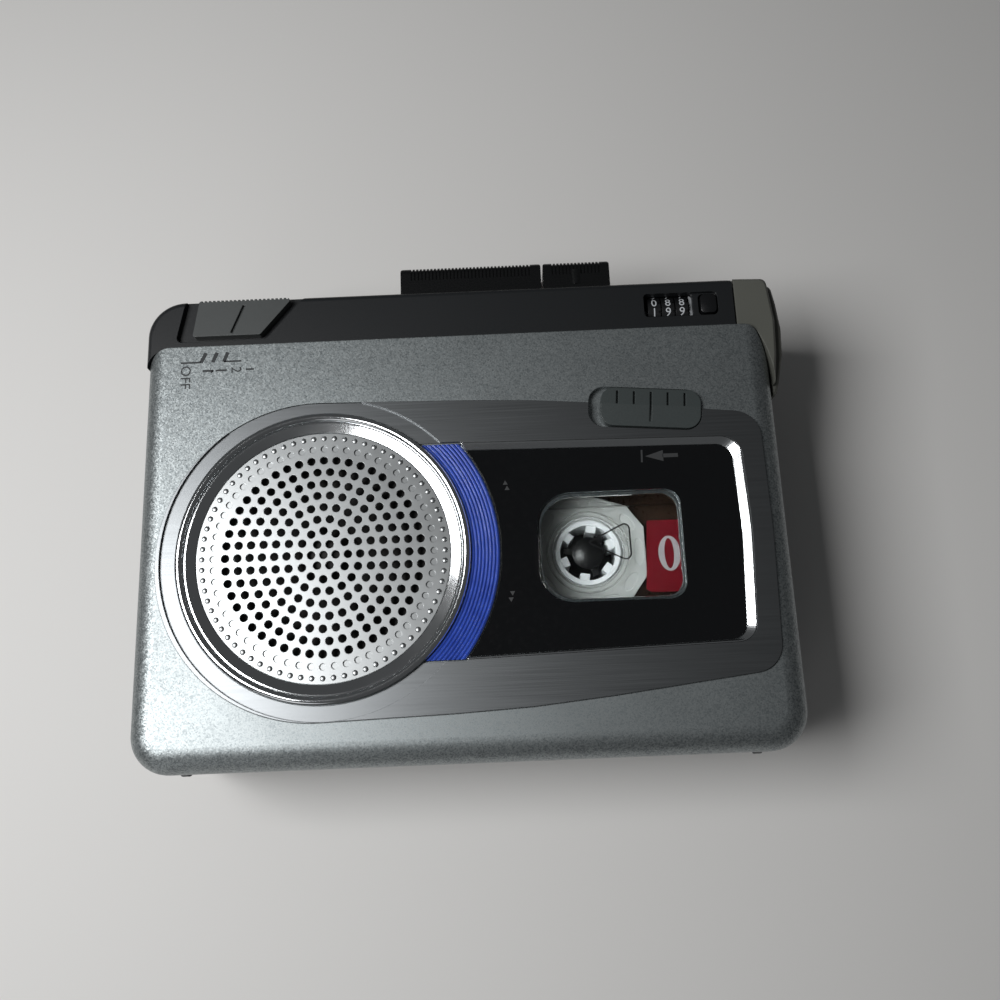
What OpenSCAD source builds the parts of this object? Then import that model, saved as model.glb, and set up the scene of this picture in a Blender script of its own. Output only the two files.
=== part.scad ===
// Small cassette recorder: a flat body with a hinged lid, a row of end keys,
// a round loudspeaker grille, a window on the cassette and a tape counter.
// X runs along the long side, Y from the hinge edge to the key edge, Z from the
// flat back to the lid. The origin is the centre of the flat back.

/* [Body] */
// Length of the body along its long side
body_w = 118; // [117:0.5:120]
// Depth of the body from the hinge edge to the key edge
body_d = 88; // [88:0.5:90]
// Height of the lid's front face above the flat back
body_h = 35; // [34.5:0.25:37]
// Wall thickness of the moulded cabinet and of the lid's sides
wall = 1.8; // [1.6:0.05:1.9]
// Thickness of the lid's front face
lid_t = 2; // [1.9:0.05:2.2]
// Radius of the body's corners seen from the front
corner_r = 7; // [6.5:0.25:8]
// Radius of the edge round the flat back
back_edge_r = 4; // [3:0.25:5]
// Radius of the edge round the lid's front face
lid_edge_r = 4.5; // [3.5:0.25:5]
// Radius of the edge round the key panel
panel_edge_r = 1.2; // [1:0.1:1.6]
// Height of the parting line between the cabinet and the lid
part_z = 25; // [24.8:0.05:25.2]
// Gap along each seam between two mouldings
seam = 0.3; // [0.2:0.05:0.4]
// Depth of the dark key panel along the key edge
band_d = 10; // [9.8:0.05:10.2]
// Height of the key panel's face above the flat back
band_h = 34; // [33.8:0.1:34.4]
// Height of the key panel's lower edge
band_z = 14; // [13:0.25:14.5]

/* [Lid and hinge] */
// Distance of the hinge axis from the hinge edge
hinge_in = 3; // [2.8:0.1:3.2]
// Radius of the lid's round edge about the hinge axis
barrel_r = 3.7; // [3.65:0.05:3.8]
// Gap between the lid's round edge and the cabinet
barrel_gap = 0.3; // [0.25:0.05:0.4]
// Distance of each hinge ear from the middle of the body
ear_x = 51; // [49:0.5:51]
// Thickness of a hinge ear
ear_t = 1.2; // [1:0.1:1.4]
// Diameter of a hinge pin
hinge_pin_d = 1.6; // [1.4:0.1:1.8]
// Length of a hinge pin
hinge_pin_l = 7.5; // [6:0.25:8]

/* [Speaker] */
// Place of the speaker's axis along the body
speaker_x = -24.9; // [-25.5:0.1:-24.5]
// Place of the speaker's axis from the middle of the body
speaker_y = -6.95; // [-7.5:0.05:-6.5]
// Outer radius of the bright ring
ring_r = 26.4; // [26:0.1:26.6]
// Radius of the grille disc
grille_r = 22.8; // [22.4:0.1:23]
// Thickness of the grille disc
grille_t = 0.6; // [0.5:0.05:0.7]
// Number of rings of open holes in the grille
grille_rings = 8; // [6:1:8]
// Distance between two rings of holes
grille_pitch = 2.2; // [2:0.05:2.25]
// Diameter of an open hole in the grille
grille_hole_d = 1.5; // [1.2:0.05:1.6]
// Radius of the speaker's frame
basket_r = 20.6; // [20:0.1:21.2]

/* [Window and bezel] */
// Height of the bezel above the lid
bezel_rise = 0.4; // [0.3:0.05:0.6]
// Depth of the seat that holds the bezel
bezel_seat = 0.5; // [0.4:0.05:0.6]
// Depth of the seat that holds the panel, the ring and the grille
panel_seat = 1.1; // [1:0.05:1.2]
// Thickness of the black front panel
panel_t = 0.7; // [0.6:0.05:0.8]
// Left edge of the window
window_x0 = 13.5; // [13:0.1:14]
// Right edge of the window
window_x1 = 39.5; // [39:0.1:40]
// Lower edge of the window, nearer the hinge
window_y0 = -17.35; // [-18:0.05:-17]
// Upper edge of the window
window_y1 = 2.6; // [2:0.1:3]
// Width of the ledge that carries the window
window_ledge = 0.6; // [0.5:0.05:0.8]
// Outer radius of the blue ribbed arc
arc_r = 31.6; // [31.4:0.05:31.65]
// Number of ribs on the blue arc
arc_ribs = 8; // [5:1:9]

/* [Keys] */
// Distance that the keys stand out past the key edge
key_out = 6.6; // [6:0.1:7]
// Travel of a pressed key
key_travel = 3.5; // [3:0.1:3.6]
// Height of a key
key_h = 5; // [4.6:0.1:5.2]
// Height of the front row of keys above the flat back
key_row_z = 26.5; // [26.3:0.1:26.7]
// Left edge of the long key
key_x0 = -10.7; // [-11.5:0.1:-10]
// Length of the long key
play_key_w = 27.5; // [27:0.1:28]
// Length of the short key
stop_key_w = 13; // [12.5:0.1:13.5]
// Gap between two keys and round each key
key_gap = 0.4; // [0.3:0.05:0.5]
// Pitch of the fine ribs on the keys
key_rib_pitch = 0.7; // [0.65:0.05:0.9]

/* [Sliders] */
// Travel of the sensitivity knob
switch_travel = 2.6; // [2.2:0.1:2.7]
// Travel of the pause knob
pause_travel = 2; // [1.6:0.1:2.1]
// Tilt of the pause knob
pause_tilt = -4.8; // [-5.5:0.1:-4]
// Length of the pause knob
pause_l = 18.4; // [17.5:0.1:18.8]
// Width of the pause knob
pause_w = 7.2; // [6.8:0.1:7.6]

/* [Counter] */
// Pitch of the counter's wheels
counter_pitch = 2.65; // [2.6:0.01:2.7]
// Radius of a counter wheel
counter_r = 3.1; // [2.9:0.05:3.15]
// Diameter of the counter's shaft
counter_shaft_d = 1.2; // [1:0.1:1.4]
// Travel of the reset button
reset_travel = 1.2; // [0.8:0.1:1.3]

/* [Cassette] */
// Length of a compact cassette
tape_w = 100.4; // [100.2:0.1:100.6]
// Width of a compact cassette
tape_d = 63.8; // [63.6:0.1:64]
// Thickness of the cassette's plain part
tape_t = 8.7; // [8.5:0.1:8.8]
// Thickness of the cassette at its open edge
tape_head_t = 12; // [11.8:0.1:12.1]
// Width of the thick part along the open edge
tape_head_d = 15.5; // [14:0.5:16]
// Distance between the two hubs
hub_pitch = 42.5; // [42.4:0.05:42.6]
// Distance of the hubs from the open edge
hub_in = 34.6; // [34.4:0.1:34.8]
// Wall thickness of the cassette
tape_wall = 1.1; // [1:0.05:1.2]
// Radius of the hub's opening between its teeth
hub_root_r = 5.2; // [5.1:0.05:5.3]
// Length of a hub tooth
hub_tooth = 1.3; // [1.2:0.05:1.4]
// Radius of the tape on the take-up hub
takeup_pack_r = 15.5; // [14:0.5:17]
// Radius of the tape on the supply hub
supply_pack_r = 20.5; // [19:0.5:22]

/* [Mechanism] */
// Thickness of the chassis floor
chassis_t = 1.2; // [1:0.1:1.3]
// Diameter of the capstan
capstan_d = 2; // [1.8:0.1:2.2]
// Radius of the flywheel
flywheel_r = 14; // [12:0.5:14.5]
// Radius of the motor
motor_r = 10.5; // [9:0.5:11]
// Radius of the motor's pulley
motor_pulley_r = 2.6; // [2.2:0.1:3]
// Radius of the pinch roller
pinch_r = 5; // [4.5:0.1:5.2]
// Running gap between a shaft and its bearing, on the radius
shaft_gap = 0.05; // [0.03:0.01:0.08]
// Gap between moving pieces
move_gap = 0.3; // [0.3:0.05:0.4]
// Diameter of a battery cell
cell_d = 14.2; // [14:0.1:14.4]
// Length of a battery cell
cell_l = 50.3; // [49.5:0.1:50.5]
// Length of the battery door
door_w = 102; // [100:0.5:103]
// Depth of the battery door
door_d = 17.5; // [17:0.25:18]
// Height of the battery door's lip up the hinge edge
door_lip = 12; // [10:0.5:14]

/* [Sockets] */
// Diameter of the plug that the two sockets take
plug_d = 3.5; // [3.4:0.1:3.6]
// Depth of a socket
jack_l = 12; // [10:0.5:13]
// Radius of the volume wheel
volume_r = 8.8; // [8.4:0.1:9.2]

/* [Hidden] */
$fn = 64;
eps = 0.01;
left_x = -body_w / 2;
right_x = body_w / 2;
hinge_edge = -body_d / 2;
key_edge = body_d / 2;
lid_end = key_edge - band_d;
far = body_w;

// Places that the lid, the cabinet and the hinge share
hinge_y = hinge_edge + hinge_in;
lid_floor = body_h - lid_t;
lid_foot = part_z + seam / 2;
relief_r = barrel_r + barrel_gap;
ear_r = hinge_in + 0.4;
ear_gap = 0.35;
lid_far_wall = 1.6;

// The lid's far corner on the right is drawn in by a large arc and a small one
cut_x = right_x - 24;
cut_y = lid_end - 12;
cut_r = 24.1;
cut_small_r = 2.5;
lid_corner_r = 5;

// Levels on the front
seat_z = body_h - bezel_seat;
panel_z = body_h - panel_seat;
bezel_z = body_h + bezel_rise;

// The cassette lies on the chassis, with its open edge to the keys
tape_x = 1.75;
tape_mid_z = 22.4;
tape_edge = speaker_y - 0.1 + hub_in;
reel_y = tape_edge - hub_in;
supply_x = tape_x + hub_pitch / 2;
takeup_x = tape_x - hub_pitch / 2;
tape_low = tape_mid_z - tape_t / 2;
tape_high = tape_mid_z + tape_t / 2;
chassis_z = tape_mid_z - tape_head_t / 2 - 0.2;
tape_line = tape_edge - 3.4;
tape_ribbon_t = 0.2;
tape_ribbon_w = 3.8;

// Capstan, heads and rollers
capstan_x = tape_x - 25.75;
capstan_y = tape_line - tape_ribbon_t - capstan_d / 2 - 0.05;
flywheel_z = 2.6;
flywheel_h = 6;
belt_z = flywheel_z + 1;
motor_x = 38;
motor_y = 24;

// End cap: the key panel ends at its left side
panel_end = right_x - 5.9;
cap_y = 20.9;
cap_rim_z = band_h - 2.4;

// Battery bay
cell_y = hinge_edge + wall + 0.5 + cell_d / 2;
cell_z = wall + 0.3 + cell_d / 2;
bay_wall_y = cell_y + cell_d / 2 + 0.6;
door_edge = hinge_edge + door_d;

// ---- Plane figures ----

function unit(v) = v / norm(v);

// Points of the arc of radius r that rounds the corner p between a and b
function corner_arc(p, a, b, r) =
  let (
    u = unit(a - p),
    v = unit(b - p),
    half = acos(u * v) / 2,
    c = p + unit(u + v) * r / sin(half),
    s = p + u * r / tan(half) - c,
    e = p + v * r / tan(half) - c,
    a0 = atan2(s[1], s[0]),
    turn = atan2(s[0] * e[1] - s[1] * e[0], s * e),
    n = max(2, ceil(abs(turn) / 9))
  )
  [for (i = [0:n]) c + r * [cos(a0 + turn * i / n), sin(a0 + turn * i / n)]];

// Outline through corners [x, y, radius], each rounded by its own radius
function rounded(pts) =
  let (n = len(pts), xy = [for (q = pts) [q[0], q[1]]])
  [for (i = [0:n - 1]) each
    pts[i][2] == 0
      ? [xy[i]]
      : corner_arc(xy[i], xy[(i + n - 1) % n], xy[(i + 1) % n], pts[i][2])];

// What a rounded corner takes off a square one, in the first quadrant
module corner_notch(r) {
  difference() {
    translate([-1, -1]) square(r + 1);
    translate([r, r]) circle(r);
  }
}

// Rectangle between two corners, with the radii of its four corners in the
// order near left, near right, far right, far left
module plan(x0, y0, x1, y1, r) {
  difference() {
    translate([x0, y0]) square([x1 - x0, y1 - y0]);
    translate([x0, y0]) corner_notch(r[0]);
    translate([x1, y0]) mirror([1, 0]) corner_notch(r[1]);
    translate([x1, y1]) mirror([1, 0]) mirror([0, 1]) corner_notch(r[2]);
    translate([x0, y1]) mirror([0, 1]) corner_notch(r[3]);
  }
}

// Rounded rectangle about its centre
module slot_plan(l, w, r) {
  square([l - 2 * r, w], center = true);
  square([l, w - 2 * r], center = true);
  for (x = [-1, 1], y = [-1, 1])
    translate([x * (l / 2 - r), y * (w / 2 - r)]) circle(r);
}

// What the far end of the lid is cut to, drawn in by i: a straight edge, a
// small corner on the left and a corner drawn in by two arcs on the right
module lid_far_cut(i) {
  reach = sqrt(pow(cut_r - cut_small_r, 2) - pow(lid_end - cut_small_r - cut_y, 2));
  out = (cut_r + 2) / (cut_r - cut_small_r);
  small_y = lid_end - cut_small_r;
  translate([-far, lid_end - i]) square([2 * far, far]);
  translate([left_x + i - 0.05, lid_end - i]) mirror([0, 1])
    corner_notch(max(lid_corner_r - i, 0.8));
  difference() {
    translate([cut_x, cut_y]) square([right_x - cut_x + 2, lid_end - cut_y + 1]);
    translate([cut_x, cut_y]) circle(cut_r - i, $fn = 128);
  }
  difference() {
    polygon([
      [cut_x + reach, small_y],
      [cut_x + reach, lid_end + 1],
      [cut_x + reach + cut_small_r + 4, lid_end + 1],
      [cut_x + reach * out, cut_y + (small_y - cut_y) * out]
    ]);
    translate([cut_x + reach, small_y]) circle(cut_small_r - 0.02 - min(i, 1.5));
  }
}

// The lid's whole outline, drawn in by i
module lid_plan(i) {
  difference() {
    plan(left_x + i, hinge_edge + i, right_x - i, lid_end + 1,
      [corner_r - i, corner_r - i, 0.5, 0.5]);
    lid_far_cut(i);
  }
}

// Keyhole outline of the bezel, drawn in by i
module bezel_plan(i) {
  translate([speaker_x - 1, speaker_y - 0.35]) circle(28.9 - i, $fn = 160);
  polygon(rounded([
    [speaker_x - 1, speaker_y - 29.25 + i, 0],
    [11.5, -35.25 + i, 300],
    [54.6 - i, -30.2 + i, 5],
    [55.4 - i, -6, 160],
    [55.1 - i, 16.2 - i, 5],
    [14, 20.55 - i, 300],
    [speaker_x - 1, speaker_y + 28.55 - i, 0]
  ]));
}

// Outline of the black front panel, grown by g; the arc bounds it on the left
module panel_plan(g) {
  difference() {
    polygon(rounded([
      [-8, -26.25 - g, 0],
      [49 + g, -24.8 - g, 2.8],
      [50 + g, -6, 60],
      [49.5 + g, 10.5 + g, 3],
      [-8, 11.5 + g, 0]
    ]));
    translate([speaker_x, speaker_y]) circle(arc_r + 0.3, $fn = 160);
  }
}

// Outline of the bright frame round the panel
module trim_plan(g) {
  difference() {
    polygon(rounded([
      [-6.5, -26.7 - g, 0],
      [50.6 + g, -25.3 - g, 3.4],
      [51.7 + g, -6, 60],
      [51.2 + g, 11.8 + g, 4],
      [-6.5, 12.8 + g, 0]
    ]));
    translate([speaker_x, speaker_y]) circle(arc_r + 0.3, $fn = 160);
  }
}

// Outline of the window, drawn in by i
module window_plan(i) {
  polygon(rounded([
    [window_x0 + i, window_y0 + i, 6],
    [window_x1 - i, window_y0 + i, 3],
    [window_x1 - i, window_y1 - i, 3],
    [window_x0 + i, window_y1 - i, 6]
  ]));
}

// ---- Solid building blocks ----

// Section of a slab with two rounded lower edges
module soft_section(s, h, re) {
  translate([-s / 2 + re, 0]) square([s - 2 * re, h]);
  translate([-s / 2, re]) square([s, h - re]);
  for (x = [-s / 2 + re, s / 2 - re]) translate([x, re]) circle(re);
}

// Slab with round corners rc, its lower edge rounded by re, standing on Z = 0
module soft_block(w, d, h, rc, re) {
  for (x = [-1, 1], y = [-1, 1])
    translate([x * (w / 2 - rc), y * (d / 2 - rc), 0]) rotate_extrude() {
      square([rc - re, h]);
      translate([0, re]) square([rc, h - re]);
      intersection() {
        translate([rc - re, re]) circle(re);
        square([rc, re]);
      }
    }
  rotate([90, 0, 0]) linear_extrude(d - 2 * rc, center = true)
    soft_section(w, h, re);
  rotate([90, 0, 90]) linear_extrude(w - 2 * rc, center = true)
    soft_section(d, h, re);
}

// Box between two opposite corners
module box(a, b) {
  translate(a) cube(b - a);
}

// Rod along X between x0 and x1
module rod_x(x0, x1, y, z, r) {
  translate([x0, y, z]) rotate([0, 90, 0]) cylinder(h = x1 - x0, r = r);
}

// Outer form of the closed body below the lid, drawn in by i
module body_form(i) {
  intersection() {
    translate([0, 0, i])
      soft_block(body_w - 2 * i, body_d - 2 * i, body_h, corner_r - i, back_edge_r - i);
    translate([0, 0, band_h - i]) mirror([0, 0, 1])
      soft_block(body_w - 2 * i, body_d - 2 * i, body_h, corner_r - i,
        max(panel_edge_r - i, 0.8));
  }
}

// ---- Cabinet ----

// Places of the four screws that hold the cabinet together
screw_xy = [[-51, -18], [51, -18], [-51, 34], [30, 37.5]];

// What the battery door takes out of the cabinet, with a gap g round it
module door_zone(g) {
  box([-door_w / 2 - g, hinge_edge - 1, -1], [door_w / 2 + g, door_edge + g, wall + eps]);
  box([-door_w / 2 - g, hinge_edge - 1, -1],
    [door_w / 2 + g, hinge_edge + wall + g, door_lip + g]);
}

// The door's two side rails, or with a gap g the slots that they leave through
module door_rails(g) {
  start = g > 0 ? hinge_edge - 1 : hinge_edge + wall;
  for (s = [-1, 1]) {
    x0 = s * (door_w / 2 - 1);
    x1 = s * (door_w / 2 + 1.2 + g);
    box([min(x0, x1), start, 1 - g],
      [max(x0, x1), door_edge - 1.5 + g, wall + g]);
  }
}

// Space that the end cap takes at the far right corner
module cap_zone(g) {
  box([panel_end - g, cap_y - g, band_z - g], [right_x + 9, key_edge + 1, body_h + 1]);
}

module rear_cabinet() color("#2f3134") {
  difference() {
    union() {
      difference() {
        body_form(0);
        body_form(wall);
        box([-far, -far, part_z - seam / 2], [far, far, 2 * body_h]);
        box([-far, lid_end - seam, band_z - seam], [far, far, 2 * body_h]);
        rod_x(-far, far, hinge_y, part_z, relief_r);
      }
      // Wall between the battery bay and the works
      box([left_x + wall / 2, bay_wall_y, wall / 2],
        [right_x - wall / 2, bay_wall_y + 1.2, chassis_z - chassis_t]);
      // Screw bosses
      for (p = screw_xy)
        translate([p[0], p[1], wall / 2])
          cylinder(h = chassis_z - chassis_t - wall / 2, r = 3);
      // Posts under the circuit board
      for (x = [-40, 0, 34], y = [-21, 4])
        translate([x, y, wall / 2]) cylinder(h = 3.2 - wall / 2, r = 1.8);
      // Hinge ears
      for (s = [-1, 1]) intersection() {
        union() {
          rod_x(s * ear_x - ear_t / 2, s * ear_x + ear_t / 2, hinge_y, part_z, ear_r);
          box([s * ear_x - ear_t / 2, hinge_edge + 0.2, part_z - 8],
            [s * ear_x + ear_t / 2, hinge_y + ear_r, part_z]);
        }
        box([-far, -far, 0], [far, far, far]);
      }
    }
    for (s = [-1, 1])
      rod_x(s * ear_x - 2, s * ear_x + 2, hinge_y, part_z, hinge_pin_d / 2);
    for (p = screw_xy) translate([p[0], p[1], -1]) {
      cylinder(h = 2.6, r = 2.9);
      cylinder(h = body_h, r = 1.4);
    }
    door_zone(seam);
    door_rails(seam);
    cap_zone(seam);
    // Slot for the volume wheel
    box([right_x - 3, volume_y - 9.5, volume_z - 0.6],
      [right_x + 3, volume_y + 9.5, volume_z + volume_t + 0.6]);
  }
}

module battery_door() color("#2f3134") {
  difference() {
    union() {
      intersection() {
        difference() {
          body_form(0);
          body_form(wall);
        }
        door_zone(0);
      }
      door_rails(0);
    }
    // Grip grooves where a thumb pushes the door off
    for (i = [0:4])
      box([-12, door_edge - 8 + 1.5 * i, -1], [12, door_edge - 7.3 + 1.5 * i, 0.4]);
  }
}

// Volume wheel in the right side
volume_x = right_x - 8;
volume_y = 2;
volume_z = 6.4;
volume_t = 2.4;

// Outline of the sensitivity knob's recess, which is open to the key edge, and
// of the knob itself
switch_recess = [[-53.5, 35.4, 1], [-36.2, 35.5, 0.6], [-27.2, 46, 0], [-51.4, 46, 0]];
switch_top = [[-50.1, 36.2, 0.4], [-37.2, 36.2, 0.4], [-31.1, 43.5, 0.5], [-49, 43.5, 0.5]];
switch_stem_x = [-43.2, -40.2];
recess_deep = 1.2;

// Counter window
counter_x0 = 36;
counter_x1 = 50;
counter_y0 = 36.6;
counter_y1 = 41.4;
counter_y = (counter_y0 + counter_y1) / 2;
counter_z = band_h - 0.9 - counter_r;
units_x = counter_x0 + 2.1;
wheels_end = units_x + 2.5 * counter_pitch + 0.7;
reset_x = 48.3;
reset_hole = [3.6, 4.4];

// Rows of keys: left edge, length and lower edge of each
key_wall_y = key_edge - 1.6;
back_row_z = key_row_z - key_h - 2;
play_span = [key_x0, key_x0 + play_key_w];
stop_span = [play_span[1] + key_gap, play_span[1] + key_gap + stop_key_w];
back_key_w = (play_key_w - key_gap) / 2;
rewind_span = [key_x0, key_x0 + back_key_w];
forward_span = [rewind_span[1] + key_gap, play_span[1]];

module key_panel() color("#2b2c2e") {
  inner_wall = 1.2;
  outer_wall = key_edge - key_wall_y;
  end_wall_x = panel_end - inner_wall;
  difference() {
    union() {
      intersection() {
        body_form(0);
        box([-far, lid_end, band_z], [panel_end, far, far]);
      }
      // Fill beside the lid's round corner
      difference() {
        intersection() {
          body_form(0);
          box([-far, lid_end - 6, part_z + seam], [left_x + 8, lid_end + 0.5, far]);
        }
        translate([0, 0, part_z - 1]) linear_extrude(body_h) lid_plan(-seam);
      }
    }
    // Hollow, open towards the works
    difference() {
      body_form(outer_wall);
      box([-far, -far, -far], [far, lid_end + inner_wall, 2 * far]);
      box([end_wall_x, -far, -far], [far, far, 2 * far]);
    }
    intersection() {
      translate([0, 0, -5]) body_form(outer_wall);
      box([left_x, lid_end - 1, band_z - 1], [end_wall_x, key_edge, part_z + 2]);
    }
    // Way for the earphone socket through the near wall and the end wall
    box([right_x - 14.5, lid_end - 1, band_z - 1], [right_x, key_wall_y, jack_z + 4.5]);
    // Openings for the two rows of keys
    for (z = [key_row_z, back_row_z])
      box([play_span[0] - key_gap, key_edge - 3, z - key_gap],
        [stop_span[1] + key_gap, key_edge + 1, z + key_h + key_gap]);
    // Recess and slot of the sensitivity knob
    translate([0, 0, band_h - recess_deep]) linear_extrude(recess_deep + 1)
      polygon(rounded(switch_recess));
    box([switch_stem_x[0] - switch_travel - move_gap, 37.8, band_h - 5],
      [switch_stem_x[1] + move_gap, 39.6, band_h]);
    // Window of the counter and hole of the reset button
    translate([(counter_x0 + wheels_end) / 2, counter_y, band_h - 5]) linear_extrude(6)
      slot_plan(wheels_end - counter_x0, counter_y1 - counter_y0, 0.8);
    translate([(counter_x0 + counter_x1) / 2, counter_y, band_h - 0.7]) linear_extrude(2)
      slot_plan(counter_x1 - counter_x0, counter_y1 - counter_y0, 0.9);
    translate([reset_x, counter_y, band_h - 5]) linear_extrude(6)
      slot_plan(reset_hole[0], reset_hole[1], 0.9);
  }
}

// Outlines of the end cap's flat top and of its bulging side, drawn in by i
function cap_top(i) = rounded([
  [panel_end + seam, cap_y + i, 0],
  [right_x + 0.2 - i, cap_y + i, 0.5],
  [right_x + 2 - i, 35, 45],
  [right_x + 0.6 - i, key_edge - 0.3 - i, 1.2],
  [panel_end + seam, key_edge - 0.1 - i, 0]
]);
function cap_side(i) = rounded([
  [panel_end + seam, cap_y + i, 0],
  [right_x + 1 - i, cap_y + i, 0.5],
  [right_x + 4.2 - i, 31.5, 35],
  [right_x + 2.1 - i, key_edge - 0.7 - i, 1.2],
  [panel_end + seam, key_edge - 0.5 - i, 0]
]);

module end_cap() color("#5a5b55") {
  cap_x = panel_end + seam;
  bevel = 0.4;
  difference() {
    union() {
      translate([0, 0, band_z]) linear_extrude(band_h - bevel - band_z) polygon(cap_top(0));
      hull() {
        translate([0, 0, band_h - bevel - eps]) linear_extrude(eps) polygon(cap_top(0));
        translate([0, 0, band_h - eps]) linear_extrude(eps) polygon(cap_top(bevel));
      }
      translate([0, 0, band_z]) linear_extrude(cap_rim_z - bevel - band_z) polygon(cap_side(0));
      hull() {
        translate([0, 0, cap_rim_z - bevel - eps]) linear_extrude(eps) polygon(cap_side(0));
        translate([0, 0, cap_rim_z - eps]) linear_extrude(eps) polygon(cap_side(bevel));
      }
    }
    // The closed lid passes here
    translate([0, 0, part_z - seam]) linear_extrude(body_h) lid_plan(-0.4);
    // Hollow that takes the sockets
    box([cap_x - 1, cap_y + 1.6, band_z - 1], [right_x - 1.6, key_edge - 1.8, part_z - 2]);
    box([cap_x - 1, lid_end + 2, part_z - 3], [right_x - 2.4, key_edge - 1.8, cap_rim_z]);
    for (y = jack_y) rod_x(right_x - 3, right_x + 8, y, jack_z, jack_nose_r + 0.1);
    for (z = [-1.6, 0, 1.6]) rod_x(right_x - 4, right_x + 8, mic_y, mic_z + z, 0.5);
  }
}

jack_y = [30.9, 38.6];
jack_z = 19.5;
jack_nose_r = 2.9;
mic_y = 38.6;
mic_z = 28;

module chassis() color("#3a3c3f") {
  inner = wall + 0.3;
  roof_x = ear_x - ear_t / 2 - 0.5;
  roof_z = tape_low - 0.3;
  difference() {
    union() {
      // Floor over the works
      intersection() {
        box([left_x + inner, bay_wall_y, chassis_z - chassis_t],
          [right_x - inner, key_edge - inner, chassis_z]);
        linear_extrude(body_h)
          plan(left_x + inner, -far, right_x - inner, key_edge - inner,
            [1, 1, corner_r - inner, corner_r - inner]);
      }
      // Roof of the battery bay, one step higher, between the hinge ears
      box([-roof_x, cell_y - cell_d / 2, roof_z - 1.1], [roof_x, bay_wall_y + 1.2, roof_z]);
      box([-roof_x, bay_wall_y, chassis_z - chassis_t], [roof_x, bay_wall_y + 1.2, roof_z]);
      // Pegs that set the cassette's height at the thin part
      for (x = [-34, 38], y = [-22, 4])
        translate([x, y, chassis_z - 0.5])
          cylinder(h = tape_low - chassis_z + 0.5 - 0.05, r = 2);
    }
    translate([capstan_x, capstan_y, 0]) cylinder(h = body_h, r = 3.5);
    for (x = [supply_x, takeup_x])
      translate([x, reel_y, 0]) cylinder(h = body_h, r = spindle_r + shaft_gap);
    for (p = screw_xy) translate([p[0], p[1], 0]) cylinder(h = body_h, r = 1.2);
    cap_zone(seam);
  }
}

module hinge_pins() color("#b9bcc0") {
  for (s = [-1, 1])
    rod_x(s * ear_x - hinge_pin_l / 2, s * ear_x + hinge_pin_l / 2,
      hinge_y, part_z, hinge_pin_d / 2);
}

module cabinet_screws() color("#c8c9cb") {
  for (p = screw_xy) translate([p[0], p[1], 0]) difference() {
    union() {
      translate([0, 0, 0.3]) cylinder(h = 1.3, r = 2.5);
      translate([0, 0, 1]) cylinder(h = chassis_z - 0.4, r = 1.2);
    }
    for (a = [0, 90]) rotate([0, 0, a]) box([-1.6, -0.35, -1], [1.6, 0.35, 0.9]);
  }
}

// ---- Lid ----

// Recess of the pause knob, about the middle of its travel
pause_x = 34.4;
pause_y = 17.95;
pause_recess_l = pause_l + pause_travel + 0.4;
pause_recess_w = pause_w + 0.8;

module pause_frame() {
  translate([pause_x, pause_y, 0]) rotate([0, 0, pause_tilt]) children();
}

module lid_form() {
  difference() {
    lid_block(0);
    translate([0, 0, -1]) linear_extrude(far) lid_far_cut(0);
  }
}

// Block with the lid's three soft edges, longer than the lid, drawn in by i
module lid_block(i) {
  long = body_d + 40 - 2 * i;
  translate([0, hinge_edge + i + long / 2, body_h - (i > 0 ? lid_t : 0)])
    mirror([0, 0, 1])
      soft_block(body_w - 2 * i, long, body_h - (i > 0 ? 0 : lid_foot), corner_r - i,
        lid_edge_r - i);
}

module lid_shell() color("#a6aaac") {
  difference() {
    union() {
      difference() {
        lid_form();
        // Hollow under the face
        difference() {
          lid_block(wall);
          translate([0, 0, -1]) linear_extrude(far) lid_far_cut(lid_far_wall);
        }
      }
      // Round edge that turns about the hinge axis
      intersection() {
        rod_x(-far, far, hinge_y, part_z, barrel_r);
        translate([0, 0, part_z - 5]) linear_extrude(8) lid_plan(0.02);
      }
    }
    // Slots for the cabinet's hinge ears, and the holes of the pins
    for (s = [-1, 1]) {
      rod_x(s * ear_x - ear_t / 2 - ear_gap, s * ear_x + ear_t / 2 + ear_gap,
        hinge_y, part_z, relief_r);
      rod_x(s * ear_x - hinge_pin_l / 2 - 0.3, s * ear_x + hinge_pin_l / 2 + 0.3,
        hinge_y, part_z, hinge_pin_d / 2 + shaft_gap);
    }
    // Seats of the bezel, the panel, the ring and the arc
    translate([0, 0, seat_z]) linear_extrude(2) bezel_plan(-0.1);
    translate([0, 0, panel_z]) linear_extrude(2) trim_plan(0.1);
    translate([speaker_x, speaker_y, panel_z]) cylinder(h = 3, r = ring_r + 0.2, $fn = 160);
    intersection() {
      translate([speaker_x, speaker_y, panel_z]) cylinder(h = 3, r = arc_r + 0.4, $fn = 160);
      box([speaker_x, -26.6, 0], [far, 12.7, far]);
    }
    // Openings for sound and for the window
    translate([speaker_x, speaker_y, 0])
      cylinder(h = far, r = grille_rings * grille_pitch + 1.4);
    linear_extrude(far) window_plan(window_ledge);
    // Recess and slot of the pause knob
    pause_frame() {
      translate([0, 0, body_h - 1.3]) linear_extrude(3)
        slot_plan(pause_recess_l, pause_recess_w, 3);
      box([-5 - pause_travel, -1.2, 0], [5 + pause_travel, 1.2, far]);
    }
  }
}

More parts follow.
